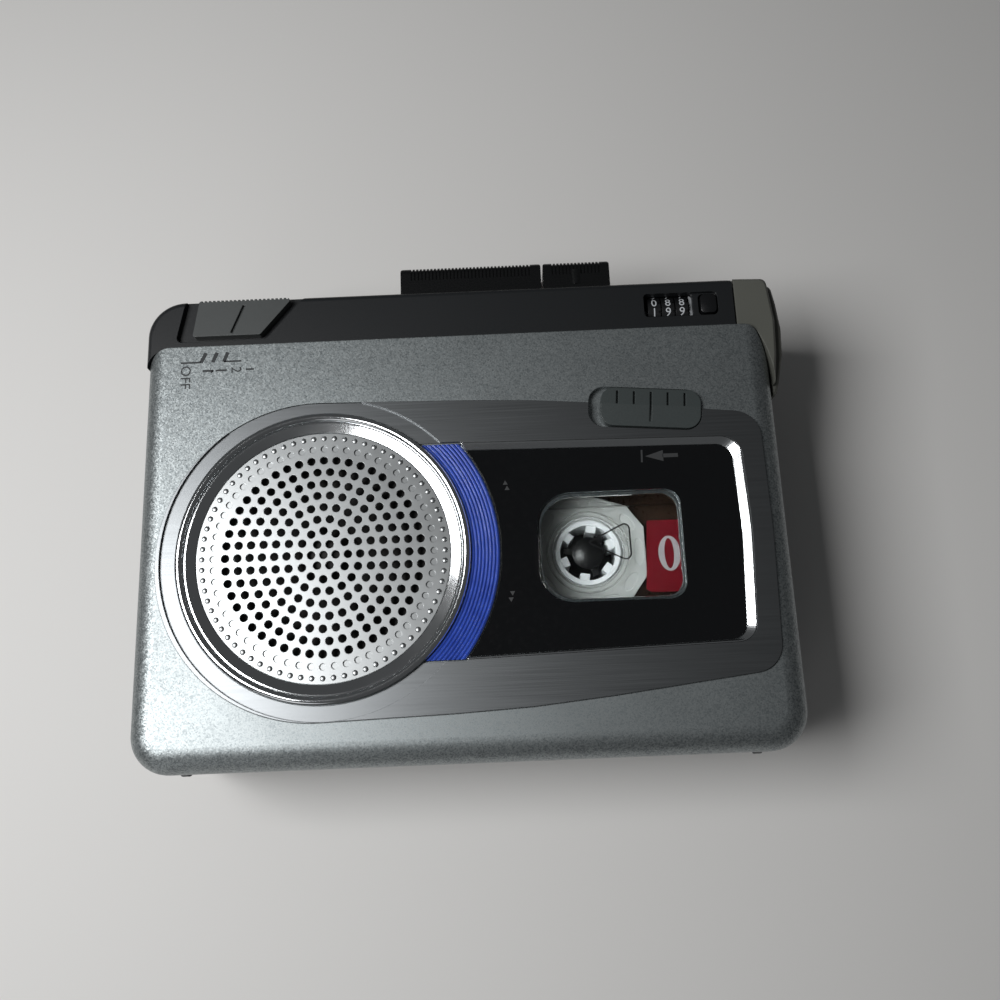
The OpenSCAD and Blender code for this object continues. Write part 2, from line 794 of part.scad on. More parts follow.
module bezel() color("#8d9296") {
  difference() {
    translate([0, 0, seat_z]) linear_extrude(bezel_z - seat_z) bezel_plan(0);
    linear_extrude(far) trim_plan(0.05);
    translate([speaker_x, speaker_y, 0]) cylinder(h = far, r = ring_r + 0.1, $fn = 160);
    translate([speaker_x, speaker_y, seat_z + 0.35]) cylinder(h = 3, r = 29.2, $fn = 160);
    // The blue arc and the panel lie in one opening
    intersection() {
      translate([speaker_x, speaker_y, 0]) cylinder(h = far, r = arc_r + 0.35, $fn = 160);
      box([speaker_x, -26.8, 0], [far, 12.9, far]);
    }
    pause_frame() linear_extrude(far) slot_plan(pause_recess_l, pause_recess_w, 3);
  }
}

module panel_trim() color("#e6e8ea") {
  difference() {
    translate([0, 0, panel_z]) linear_extrude(bezel_z - panel_z) trim_plan(0);
    linear_extrude(far) panel_plan(0.1);
    // Bevel that falls from the bezel to the panel
    hull() {
      translate([0, 0, panel_z + panel_t]) linear_extrude(eps) bevel_plan(0.1);
      translate([0, 0, bezel_z]) linear_extrude(eps) bevel_plan(1.1);
    }
  }
}

// Straight outline inside the trim, grown by g, for its bevel
module bevel_plan(g) {
  polygon(rounded([
    [-12, -26.25 - g * 0.3, 0],
    [49 + g * 1.3, -24.8 - g * 0.3, 3],
    [50 + g * 1.3, -6, 60],
    [49.5 + g * 1.3, 10.5 + g, 3],
    [-12, 11.5 + g, 0]
  ]));
}

module front_panel() color("#0b0c0e") {
  difference() {
    translate([0, 0, panel_z]) linear_extrude(panel_t) panel_plan(0);
    linear_extrude(far) window_plan(0);
  }
}

module window_lens() color("#c9d2d6") {
  translate([0, 0, panel_z]) linear_extrude(panel_t + 0.15) window_plan(0.06);
  translate([0, 0, lid_floor]) linear_extrude(panel_z - lid_floor + eps)
    window_plan(window_ledge + 0.06);
}

module speaker_ring() color("#e8eaec") {
  bead = 0.75;
  translate([speaker_x, speaker_y, 0]) rotate_extrude($fn = 160) {
    translate([ring_r - bead, bezel_z - 0.15]) circle(bead, $fn = 48);
    translate([ring_r - 2 * bead, panel_z]) square([2 * bead, bezel_z - 0.15 - panel_z]);
    // Dished inner side, which falls to the grille
    polygon([
      [grille_r + 0.1, panel_z],
      [ring_r - 2 * bead + eps, panel_z],
      [ring_r - 2 * bead + eps, bezel_z - 0.35],
      [ring_r - 2 * bead - 0.3, bezel_z - 0.35],
      [grille_r + 0.1, panel_z + grille_t + 0.1]
    ]);
  }
}

// Rings of holes at one pitch, six more on each ring than on the last
module speaker_grille() color("#c2c4c6") {
  blind = 0.3;
  translate([speaker_x, speaker_y, panel_z]) difference() {
    cylinder(h = grille_t, r = grille_r, $fn = 160);
    translate([0, 0, -1]) cylinder(h = 4, r = grille_hole_d / 2, $fn = 24);
    for (ring = [1:grille_rings], i = [0:6 * ring - 1])
      rotate([0, 0, i * 60 / ring]) translate([ring * grille_pitch, 0, -1])
        cylinder(h = 4, r = grille_hole_d / 2, $fn = 24);
    // A ring of blind holes over the ledge
    for (i = [0:59])
      rotate([0, 0, i * 6]) translate([grille_r - 3, 0, grille_t - blind])
        cylinder(h = 1, r = 0.6, $fn = 24);
  }
}

module blue_lens() color("#2a3f9e") {
  inner = ring_r + 0.15;
  pitch = (arc_r - inner) / arc_ribs;
  top = seat_z + 0.55;
  intersection() {
    translate([speaker_x, speaker_y, 0]) rotate_extrude($fn = 160)
      polygon(concat(
        [[arc_r, panel_z], [inner, panel_z]],
        [for (i = [0:arc_ribs - 1]) each [
          [inner + i * pitch, top - 0.25],
          [inner + (i + 0.5) * pitch, top]
        ]],
        [[arc_r, top - 0.25]]
      ));
    box([speaker_x, -26.5, 0], [far, 12.6, far]);
  }
}

module lid_liner() color("#2b2d30") {
  z0 = lid_floor - 1.6;
  difference() {
    union() {
      difference() {
        translate([0, 0, z0]) linear_extrude(1) lid_plan(4.5);
        box([-far, -far, 0], [far, hinge_edge + 8.5, far]);
      }
      for (x = [-50, 46], y = [-30, 25])
        translate([x, y, z0]) cylinder(h = 1.6, r = 2);
      // Two ribs that steady the cassette
      for (x = [tape_x - 36, tape_x + 36])
        box([x - 0.6, 8.5, tape_mid_z + tape_head_t / 2 + 0.4], [x + 0.6, 25, z0 + 0.5]);
    }
    translate([speaker_x, speaker_y, 0]) cylinder(h = far, r = basket_r + 0.4);
    linear_extrude(far) window_plan(-1);
    pause_frame() box([-8, -4, 0], [8, 4, far]);
  }
}

module speaker_basket() color("#7d8084") {
  top = lid_floor;
  translate([speaker_x, speaker_y, 0]) difference() {
    rotate_extrude($fn = 96) polygon([
      [basket_r, top],
      [basket_r, top - 0.8],
      [basket_r - 1.6, top - 0.8],
      [11, top - 3.6],
      [9.3, top - 3.6],
      [9.3, top - 3],
      [10.8, top - 3],
      [17.4, top - 0.45],
      [18.9, top - 0.45],
      [18.9, top]
    ]);
    for (a = [45:90:359]) rotate([0, 0, a]) box([12, -3, 0], [16.5, 3, top - 0.9]);
  }
}

module speaker_cone() color("#3b3a38") {
  top = lid_floor - 0.1;
  translate([speaker_x, speaker_y, 0]) rotate_extrude($fn = 96) {
    polygon([
      [18.7, top], [18.7, top - 0.35], [17.4, top - 0.35], [16.4, top - 0.6],
      [6.4, top - 2.5], [6.4, top - 2.1], [17, top - 0.2]
    ]);
    // Voice coil under the dust cap
    translate([6, top - 4.2]) square([0.5, 2.1]);
    intersection() {
      translate([0, top - 6.9]) difference() {
        circle(7.9);
        circle(7.5);
      }
      translate([0, top - 2.5]) square([6.6, 4]);
    }
  }
}

module speaker_magnet() color("#55575a") {
  top = lid_floor - 3.6;
  translate([speaker_x, speaker_y, 0]) difference() {
    translate([0, 0, top - 2.2]) cylinder(h = 2.2, r = 10.6);
    translate([0, 0, top - 1.4]) difference() {
      cylinder(h = 3, r = 6.9);
      translate([0, 0, -1]) cylinder(h = 5, r = 5.6);
    }
  }
}

module cassette_springs() color("#c9a35a") {
  z0 = lid_floor - 1.6;
  low = tape_high + 0.4;
  for (x = [tape_x - 40, tape_x + 44])
    translate([x, 0, 0]) rotate([90, 0, -90]) linear_extrude(5, center = true)
      polygon([
        [26, z0], [26, z0 - 0.3], [20, z0 - 0.3], [12, low], [8, low + 0.6],
        [8, low + 0.9], [11.9, low + 0.35], [19.9, z0]
      ]);
}

module pause_knob() color("#3a4040") {
  rest = pause_travel / 2;
  groove_pitch = 3.1;
  pause_frame() translate([rest, 0, 0]) difference() {
    union() {
      translate([0, 0, body_h - 1.1]) linear_extrude(1.9) slot_plan(pause_l, pause_w, 2.5);
      // Stem and its foot under the lid
      box([-4.5, -0.9, lid_floor - 0.2 - 0.8], [4.5, 0.9, body_h - 1]);
      box([-6, -2.4, lid_floor - 0.2 - 0.8], [6, 2.4, lid_floor - 0.2]);
    }
    // The lower half slopes away, and five grooves cross the upper half
    translate([0, 0.4, body_h + 0.8]) rotate([7, 0, 0])
      box([-pause_l, -pause_w, 0], [pause_l, 0, 3]);
    for (i = [-2:2])
      box([i * groove_pitch - 0.18, i == 0 ? -2.6 : 0.5, body_h + 0.15],
        [i * groove_pitch + 0.18, pause_w / 2 - 0.6, far]);
  }
}

// ---- Keys, switch and counter ----

module switch_knob() color("#4a4d4d") {
  stem_top = band_h - recess_deep + 0.4;
  ridge_pitch = 0.8;
  difference() {
    union() {
      translate([0, 0, band_h - recess_deep + 0.1]) linear_extrude(recess_deep + 0.5)
        polygon(rounded(switch_top));
      // Stem and the foot that holds it under the panel
      box([switch_stem_x[0], 38.1, band_h - 3.2], [switch_stem_x[1], 39.3, stem_top]);
      box([switch_stem_x[0] - 1.8, 37.2, band_h - 4.2],
        [switch_stem_x[1] + 1.8, 40.2, band_h - 2.9]);
    }
    // Index groove, and fine ridges on the side towards the key edge
    translate([-41.5, 39.5, band_h + 0.1]) rotate([0, 0, -22]) box([-0.3, -3, 0], [0.3, 3, 1]);
    for (x = [-48.2:ridge_pitch:-32])
      box([x - 0.18, 43.25, band_h - 2], [x + 0.18, 45, band_h + 1]);
  }
}

// Section of a key from its wall to its tip, drawn in by i
module key_section(z, i) {
  plan(key_wall_y - 3, z + i, key_edge + key_out - i, z + key_h - i,
    [0.3, 1.6 - i, 1.6 - i, 0.3]);
}

// Bar with a key's section
module key_bar(span, z, i) {
  translate([span[0], 0, 0]) rotate([90, 0, 90]) linear_extrude(span[1] - span[0])
    key_section(z, i);
}

// A key between span[0] and span[1]: ribbed tip, smooth body, and a flange that
// holds it behind the wall
module key(span, z) {
  tip = key_edge + key_out;
  mid = (span[0] + span[1]) / 2;
  rib_deep = 0.25;
  smooth_end = 1.6;
  ribs = floor((span[1] - span[0] - 2 * smooth_end) / key_rib_pitch);
  first = mid - (ribs - 1) / 2 * key_rib_pitch;
  difference() {
    union() {
      intersection() {
        key_bar(span, z, 0);
        translate([0, 0, z - 1]) linear_extrude(key_h + 2)
          plan(span[0], key_wall_y - 2, span[1], tip, [0.3, 0.3, 1.1, 1.1]);
      }
      box([span[0], key_wall_y - 1.8, z - 1.2], [span[1], key_wall_y - 0.3, z + key_h]);
      box([mid - 3, key_wall_y - 3, z + 1], [mid + 3, key_wall_y - 1.7, z + key_h - 1]);
    }
    // Grooves between the ribs
    difference() {
      for (i = [0:ribs - 1])
        box([first + i * key_rib_pitch - 0.15, tip - 3, z + 1],
          [first + i * key_rib_pitch + 0.15, tip + 1, z + key_h + 1]);
      key_bar(span, z, rib_deep);
    }
  }
}

module play_key() color("#0e0f11") key(play_span, key_row_z);

module stop_key() color("#0e0f11") {
  bump_r = 2;
  bump_rise = 0.15;
  key(stop_span, key_row_z);
  // Low bump that a thumb finds without looking
  translate([(stop_span[0] + stop_span[1]) / 2, 0, key_row_z + key_h + bump_rise - bump_r])
    rotate([-90, 0, 0]) translate([0, 0, key_edge + 1.5])
      cylinder(h = key_out - 3.5, r = bump_r);
}

module rewind_key() color("#0e0f11") key(rewind_span, back_row_z);
module forward_key() color("#0e0f11") key(forward_span, back_row_z);
module record_key() color("#8e1b22") key(stop_span, back_row_z);

module counter_frame() color("#9a9da0") {
  low = counter_z - counter_r - 0.6;
  right_plate = wheels_end - 0.45;
  for (x = [counter_x0 - 1.2, right_plate])
    difference() {
      box([x, counter_y - 2.6, low], [x + 0.9, counter_y + 2.6, counter_z + 2.2]);
      rod_x(x - 1, x + 2, counter_y, counter_z, counter_shaft_d / 2 - eps);
    }
  box([counter_x0 - 1.2, counter_y - 2.6, low - 0.8],
    [reset_x + 2, counter_y + 2.6, low]);
  rod_x(counter_x0 - 1.2, right_plate + 0.9, counter_y, counter_z, counter_shaft_d / 2);
  // Leg that stands on the end wall of the key panel
  box([reset_x + 1.2, counter_y - 2.6, low - 0.8],
    [panel_end - 1.2, counter_y + 2.6, low]);
  // Stop under the reset button
  translate([reset_x, counter_y, low - eps]) cylinder(h = 0.5, r = 1.2);
}

module counter_wheel(i) {
  x = units_x + i * counter_pitch;
  difference() {
    rod_x(x - counter_pitch / 2 + 0.12, x + counter_pitch / 2 - 0.12,
      counter_y, counter_z, counter_r);
    rod_x(x - 3, x + 3, counter_y, counter_z, counter_shaft_d / 2 + shaft_gap);
    // Carry notches round the rim
    for (a = [0:36:359])
      translate([0, counter_y, counter_z]) rotate([a + 18, 0, 0])
        box([x + counter_pitch / 2 - 0.5, -0.2, counter_r - 0.3],
          [x + counter_pitch / 2, 0.2, counter_r + 1]);
  }
}

module counter_hundreds() color("#16171a") counter_wheel(0);
module counter_tens() color("#16171a") counter_wheel(1);
module counter_units() color("#16171a") counter_wheel(2);

module reset_button() color("#111214") {
  top = band_h + 0.3;
  intersection() {
    translate([reset_x, counter_y, top - 6]) linear_extrude(6)
      slot_plan(reset_hole[0] - 2 * move_gap, reset_hole[1] - 2 * move_gap, 0.8);
    translate([reset_x, counter_y, top - 6]) sphere(6, $fn = 48);
  }
  translate([reset_x, counter_y, band_h - 3.2]) linear_extrude(0.9)
    slot_plan(reset_hole[0] + 0.6, reset_hole[1] + 0.6, 0.8);
}

// ---- Heads and drive ----

spindle_r = 1.5;
head_face = tape_line + key_travel + 0.35;
plate_z = chassis_z + 0.15;

// The carriage's plate stays outside the cassette over its whole travel
carriage_y = tape_edge + move_gap + key_travel + 0.05;
foot_back = carriage_y + 2.4;
// The heads and the roller stay clear of the lid's far wall and its foot
head_back = lid_end - lid_far_wall - 0.4;
foot_top = lid_foot - 0.35;
pinch_x = capstan_x;
pinch_y = tape_line + 0.35 + pinch_r + key_travel;
pinch_z = tape_mid_z - 2.8;
pinch_h = foot_top - pinch_z;
pinch_pin_r = 0.9;

module head_base() color("#b4b7bb") {
  difference() {
    union() {
      box([-22, carriage_y, plate_z], [22, carriage_y + 3.6, plate_z + 1]);
      // Arm out to the pinch roller, and its shouldered pin
      box([pinch_x - 3, carriage_y, plate_z], [-20, pinch_y + 2.2, plate_z + 1]);
      translate([pinch_x, pinch_y, plate_z]) {
        cylinder(h = pinch_z - move_gap - plate_z, r = 1.6);
        cylinder(h = foot_top - plate_z, r = pinch_pin_r);
      }
    }
    // Holes that hook the two return springs
    for (x = [-14, 20]) translate([x, carriage_y + 1.8, 0]) cylinder(h = far, r = 0.8);
  }
}

module play_head() color("#c5c7ca") {
  difference() {
    intersection() {
      union() {
        box([tape_x - 6, head_face, tape_mid_z - 4.2], [tape_x + 6, head_back, tape_mid_z + 4.2]);
        // Foot on the carriage, behind the cassette
        box([tape_x - 6, carriage_y, plate_z + 1], [tape_x + 6, foot_back, foot_top]);
      }
      translate([tape_x, head_face + 14, 0]) cylinder(h = far, r = 14, $fn = 96);
    }
    // Gap lines of the two tracks
    for (z = [-1.1, 0.5])
      box([tape_x - 0.1, head_face - 1, tape_mid_z + z],
        [tape_x + 0.1, head_face + 0.15, tape_mid_z + z + 0.6]);
  }
}

module erase_head() color("#4b4e52") {
  x = tape_x + 14;
  intersection() {
    union() {
      box([x - 2.6, head_face, tape_mid_z - 3.6], [x + 2.6, head_back, tape_mid_z + 3]);
      box([x - 2.6, carriage_y, plate_z + 1], [x + 2.6, foot_back, foot_top]);
    }
    translate([x, head_face + 7, 0]) cylinder(h = far, r = 7, $fn = 96);
  }
}

module pinch_roller() color("#1b1b1d") {
  translate([pinch_x, pinch_y, pinch_z]) difference() {
    cylinder(h = pinch_h, r = pinch_r);
    translate([0, 0, -1]) cylinder(h = pinch_h + 2, r = pinch_pin_r + shaft_gap);
  }
}

module capstan_bush() color("#c9a35a") {
  translate([capstan_x, capstan_y, chassis_z - chassis_t - 2]) difference() {
    union() {
      cylinder(h = chassis_t + 2, r = 3.5);
      cylinder(h = 2, r = 4.6);
    }
    translate([0, 0, -1]) cylinder(h = 9, r = capstan_d / 2 + shaft_gap);
  }
}

module flywheel() color("#b08d57") {
  translate([capstan_x, capstan_y, 0]) {
    rotate_extrude($fn = 96) polygon([
      [capstan_d / 2 - eps, flywheel_z],
      [flywheel_r, flywheel_z],
      [flywheel_r, belt_z - 0.6],
      [flywheel_r - 0.8, belt_z],
      [flywheel_r, belt_z + 0.6],
      [flywheel_r, flywheel_z + flywheel_h],
      [flywheel_r - 3.5, flywheel_z + flywheel_h],
      [flywheel_r - 3.5, flywheel_z + 3.5],
      [3.5, flywheel_z + 3.5],
      [3.5, flywheel_z + flywheel_h],
      [capstan_d / 2 - eps, flywheel_z + flywheel_h]
    ]);
    translate([0, 0, wall + 0.2]) cylinder(h = tape_high - 0.8 - wall - 0.2, r = capstan_d / 2);
  }
}

module motor() color("#a9acb0") {
  z0 = 5;
  translate([motor_x, motor_y, 0]) difference() {
    union() {
      translate([0, 0, z0]) cylinder(h = chassis_z - chassis_t - z0, r = motor_r);
      translate([0, 0, z0 - 0.4]) cylinder(h = 0.5, r = 3);
    }
    translate([0, 0, z0 - 1]) cylinder(h = 4, r = 0.75 + shaft_gap);
    // Rolled bead round the can
    translate([0, 0, z0 + 7]) rotate_extrude() translate([motor_r, 0]) circle(0.5, $fn = 24);
  }
}

module motor_pulley() color("#c9a35a") {
  translate([motor_x, motor_y, 0]) {
    rotate_extrude() polygon([
      [0, belt_z - 1], [motor_pulley_r + 0.6, belt_z - 1], [motor_pulley_r - 0.6, belt_z],
      [motor_pulley_r + 0.6, belt_z + 0.9], [0, belt_z + 0.9]
    ]);
    translate([0, 0, belt_z + 0.9]) cylinder(h = 3, r = 0.75);
  }
}

// Loop round two pulleys: an arc about each, joined by straight runs
function belt_loop(c0, r0, c1, r1) =
  let (
    d = c1 - c0,
    tilt = atan2(d[1], d[0]),
    a = acos((r0 - r1) / norm(d)),
    n = 36
  )
  concat(
    [for (i = [0:n]) let (w = tilt + a + i * (360 - 2 * a) / n) c0 + r0 * [cos(w), sin(w)]],
    [for (i = [0:n]) let (w = tilt - a + i * 2 * a / n) c1 + r1 * [cos(w), sin(w)]]
  );

module drive_belt() color("#1a1a1b") {
  belt_t = 0.8;
  r0 = flywheel_r + 0.1;
  r1 = motor_pulley_r + 0.75;
  translate([0, 0, belt_z - 0.4]) linear_extrude(0.8) difference() {
    polygon(belt_loop([capstan_x, capstan_y], r0 + belt_t, [motor_x, motor_y], r1 + belt_t));
    polygon(belt_loop([capstan_x, capstan_y], r0, [motor_x, motor_y], r1));
  }
}

// ---- Reels ----

hub_r = 10.9;

// Deck spindle: pulley under the floor, flange over it, splined post
module spindle(x, fins) {
  top = tape_high - 0.6;
  translate([x, reel_y, 0]) {
    translate([0, 0, chassis_z - chassis_t - 4]) cylinder(h = top - chassis_z + 3, r = spindle_r);
    translate([0, 0, chassis_z - chassis_t - 4]) cylinder(h = 2.6, r = 9);
    translate([0, 0, chassis_z + 0.15]) cylinder(h = 1, r = 7);
    translate([0, 0, chassis_z + 1]) cylinder(h = top - chassis_z - 1, r = 3);
    for (i = [0:fins - 1]) rotate([0, 0, 50 + i * 360 / fins])
      box([2, -0.6, chassis_z + 1], [hub_root_r - hub_tooth + 0.5, 0.6, top - 1.2]);
    translate([0, 0, top - 0.1]) intersection() {
      cylinder(h = 1, r = 3);
      translate([0, 0, -4.4]) sphere(5.3, $fn = 48);
    }
  }
}

module hub(x) {
  low = tape_low + tape_wall + 0.3;
  high = tape_high - tape_wall - 0.3;
  translate([x, reel_y, 0]) {
    difference() {
      union() {
        translate([0, 0, low]) cylinder(h = high - low, r = hub_r);
        translate([0, 0, tape_low + 0.5]) cylinder(h = tape_t - 1, r = 6.1);
      }
      cylinder(h = far, r = hub_root_r);
    }
    for (i = [0:5]) rotate([0, 0, 20 + i * 60])
      box([hub_root_r - hub_tooth, -0.9, low], [hub_root_r + 0.2, 0.9, tape_high - 0.7]);
  }
}

module pack(x, r) {
  translate([x, reel_y, tape_mid_z - tape_ribbon_w / 2]) difference() {
    cylinder(h = tape_ribbon_w, r = r, $fn = 96);
    translate([0, 0, -1]) cylinder(h = 9, r = hub_r + 0.02);
  }
}

module supply_spindle() color("#17181a") spindle(supply_x, 3);
module takeup_spindle() color("#17181a") spindle(takeup_x, 3);
module supply_hub() color("#e9e9e4") hub(supply_x);
module takeup_hub() color("#e9e9e4") hub(takeup_x);
module supply_pack() color("#3a2a20") pack(supply_x, supply_pack_r);
module takeup_pack() color("#3a2a20") pack(takeup_x, takeup_pack_r);

// ---- Cassette ----

tape_back = tape_edge - tape_d;
roller_r = 2.6;
roller_y = tape_line - tape_ribbon_t - roller_r - 0.05;
roller_in = 6.5;
head_slot_w = 17;
pinch_slot_w = 13;
screw_in = 4.2;

module tape_outline(i) {
  plan(tape_x - tape_w / 2 + i, tape_back + i, tape_x + tape_w / 2 - i, tape_edge - i,
    [2.5 - i, 2.5 - i, 2 - i, 2 - i]);
}

// The thick part widens from the label to the open edge
module tape_head_outline() {
  polygon([
    [tape_x - 33, tape_edge - tape_head_d], [tape_x + 33, tape_edge - tape_head_d],
    [tape_x + 36, tape_edge], [tape_x - 36, tape_edge]
  ]);
}

module tape_shell() {
  difference() {
    union() {
      translate([0, 0, tape_low]) linear_extrude(tape_t) tape_outline(0);
      translate([0, 0, tape_mid_z - tape_head_t / 2]) linear_extrude(tape_head_t)
        tape_head_outline();
    }
    translate([0, 0, tape_low + tape_wall]) linear_extrude(tape_t - 2 * tape_wall)
      tape_outline(1.3);
    // Hub openings
    for (x = [supply_x, takeup_x])
      translate([x, reel_y, 0]) cylinder(h = far, r = 6.4);
    // Openings of the edge for the heads and the two rollers
    box([tape_x - head_slot_w / 2, tape_line - 3, tape_mid_z - 4.6],
      [tape_x + head_slot_w / 2, far, tape_mid_z + 4.6]);
    for (s = [-1, 1]) {
      box([tape_x + s * 25.75 - pinch_slot_w / 2, tape_line - 0.3, tape_mid_z - 3.2],
        [tape_x + s * 25.75 + pinch_slot_w / 2, far, tape_mid_z + 3.2]);
      box([tape_x + s * 14 - 3.6, tape_line - 0.3, tape_mid_z - 4],
        [tape_x + s * 14 + 3.6, far, tape_mid_z + 4]);
      // Capstan holes
      translate([tape_x + s * 25.75, capstan_y, 0]) cylinder(h = far, r = 3);
      // Screw holes
      translate([tape_x + s * (tape_w / 2 - screw_in), tape_back + screw_in, 0])
        cylinder(h = far, r = 1);
      translate([tape_x + s * (tape_w / 2 - screw_in), tape_edge - 14, 0])
        cylinder(h = far, r = 1);
    }
  }
  // Posts the guide rollers turn on, and backing of the pressure pad
  for (s = [-1, 1])
    translate([tape_x + s * (tape_w / 2 - roller_in), roller_y, tape_low + tape_wall - eps])
      cylinder(h = tape_t - 2 * tape_wall + 2 * eps, r = 1);
}

module cassette_front() color([0.35, 0.27, 0.22, 0.6]) {
  intersection() {
    tape_shell();
    box([-far, -far, tape_mid_z], [far, far, far]);
  }
}

module cassette_back() color([0.35, 0.27, 0.22, 0.6]) {
  intersection() {
    tape_shell();
    box([-far, -far, 0], [far, far, tape_mid_z]);
  }
}

module cassette_label() color("#e6e3da") {
  label_r = 11.3;
  difference() {
    translate([0, 0, tape_high]) linear_extrude(0.15)
      plan(tape_x - 44, tape_back + 3, tape_x + 44, tape_edge - tape_head_d - 1, [2, 2, 2, 2]);
    for (x = [supply_x, takeup_x]) translate([x, reel_y, 0]) cylinder(h = far, r = label_r);
    box([takeup_x, reel_y - label_r + 0.3, 0], [supply_x, reel_y + label_r - 0.3, far]);
  }
}

// Straight run of tape between two points
module tape_span(a, b) {
  d = b - a;
  translate([a[0], a[1], tape_mid_z - tape_ribbon_w / 2])
    rotate([0, 0, atan2(d[1], d[0])])
      box([0, -tape_ribbon_t, 0], [norm(d), 0, tape_ribbon_w]);
}

module tape_run() color("#4a3427") {
  left = tape_x - tape_w / 2 + roller_in;
  right = tape_x + tape_w / 2 - roller_in;
  gap = 0.35;
  tape_span([left, tape_line], [right, tape_line]);
  // Down each side to the packs
  tape_span([left - roller_r - gap, roller_y], [left - roller_r - gap, roller_y - 9]);
  tape_span([right + roller_r + gap, roller_y], [right + roller_r + gap, roller_y - 9]);
  // Pressure pad behind the head
  box([tape_x - 2.2, tape_line - 1.4, tape_mid_z - 1.9],
    [tape_x + 2.2, tape_line - tape_ribbon_t, tape_mid_z + 1.9]);
}

module guide_roller(x) {
  translate([x, roller_y, tape_low + tape_wall + 0.3]) difference() {
    cylinder(h = tape_t - 2 * tape_wall - 0.6, r = roller_r - 0.3);
    translate([0, 0, -1]) cylinder(h = 9, r = 1 + shaft_gap);
  }
}

module guide_roller_left() color("#e9e9e4") guide_roller(tape_x - tape_w / 2 + roller_in);
module guide_roller_right() color("#e9e9e4") guide_roller(tape_x + tape_w / 2 - roller_in);

// ---- Electrical parts ----

module circuit_board() color("#3f6b3a") {
  top = 4.4;
  translate([0, 0, 3.2]) linear_extrude(top - 3.2) difference() {
    plan(left_x + 5, bay_wall_y + 2, right_x - 3, 7.5, [1, 1, 1, 1]);
    for (p = screw_xy) translate(p) circle(3.4);
  }
  // Upright capacitors, two chips and the body of the volume control
  for (p = [[-46, -14], [-40, -15], [-6, -18], [3, -18], [36, -20], [8, 2]])
    translate([p[0], p[1], top - eps]) cylinder(h = 5, r = 2.3);
  box([-33, 0, top - eps], [-20, 6, top + 2.2]);
  box([24, -2, top - eps], [34, 5, top + 2.2]);
  translate([volume_x, volume_y, top - eps]) cylinder(h = volume_z - 0.3 - top, r = 5);
  translate([volume_x, volume_y, top]) cylinder(h = 6, r = 1.5);
}

module volume_wheel() color("#1c1d1f") {
  translate([volume_x, volume_y, volume_z]) difference() {
    cylinder(h = volume_t, r = volume_r);
    translate([0, 0, -1]) cylinder(h = 9, r = 1.5 + shaft_gap);
    for (a = [0:10:359])
      rotate([0, 0, a]) translate([volume_r + 0.15, 0, -1]) cylinder(h = 9, r = 0.45, $fn = 16);
  }
}

// Socket for a small plug: body, nose through the end cap, blind bore
module jack(y) {
  mouth = right_x + 1;
  difference() {
    union() {
      box([mouth - jack_l - 1.5, y - 3.1, jack_z - 3.1], [right_x - 2, y + 3.1, jack_z + 3.1]);
      rod_x(right_x - 2.5, mouth, y, jack_z, jack_nose_r);
    }
    rod_x(mouth - jack_l, mouth + 1, y, jack_z, plug_d / 2 + 0.1);
  }
}

module mic_jack() color("#202123") jack(jack_y[0]);
module ear_jack() color("#202123") jack(jack_y[1]);

module mic_capsule() color("#b9bcc0") {
  rod_x(right_x - 5.4, right_x - 2.6, mic_y, mic_z, 2.6);
}

module battery_cells() color("#b8863b") {
  for (s = [-1, 1]) {
    x0 = s > 0 ? 0.2 : -cell_l - 0.1;
    rod_x(x0, x0 + cell_l - 1, cell_y, cell_z, cell_d / 2);
    rod_x(x0 + cell_l - 1 - eps, x0 + cell_l, cell_y, cell_z, 2.6);
  }
}

module battery_contacts() color("#d3d5d8") {
  for (s = [-1, 1]) {
    x = s > 0 ? cell_l + 0.8 : -cell_l - 0.7;
    box([x - 0.25, cell_y - 5, wall + 0.2], [x + 0.25, cell_y + 5, cell_z + 5]);
    box([min(x, x + s * 3), cell_y - 3, wall + 0.2], [max(x, x + s * 3), cell_y + 3, wall + 0.7]);
  }
}

rear_cabinet();
battery_door();
key_panel();
end_cap();
chassis();
lid_shell();
lid_liner();
bezel();
panel_trim();
front_panel();
window_lens();
speaker_ring();
speaker_grille();
blue_lens();
speaker_basket();
speaker_cone();
speaker_magnet();
cassette_springs();
hinge_pins();
cabinet_screws();
pause_knob();
switch_knob();
play_key();
stop_key();
rewind_key();
forward_key();
record_key();
counter_frame();
counter_units();
counter_tens();
counter_hundreds();
reset_button();
head_base();
play_head();
erase_head();
pinch_roller();
capstan_bush();
flywheel();
motor();
motor_pulley();
drive_belt();
supply_spindle();
supply_hub();
supply_pack();
takeup_spindle();
takeup_hub();
takeup_pack();
cassette_front();
cassette_back();
cassette_label();
tape_run();
guide_roller_left();
guide_roller_right();
circuit_board();
volume_wheel();
mic_jack();
ear_jack();
mic_capsule();
battery_cells();
battery_contacts();
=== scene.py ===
import math

import bmesh
import bpy
import numpy as np
from mathutils import Matrix


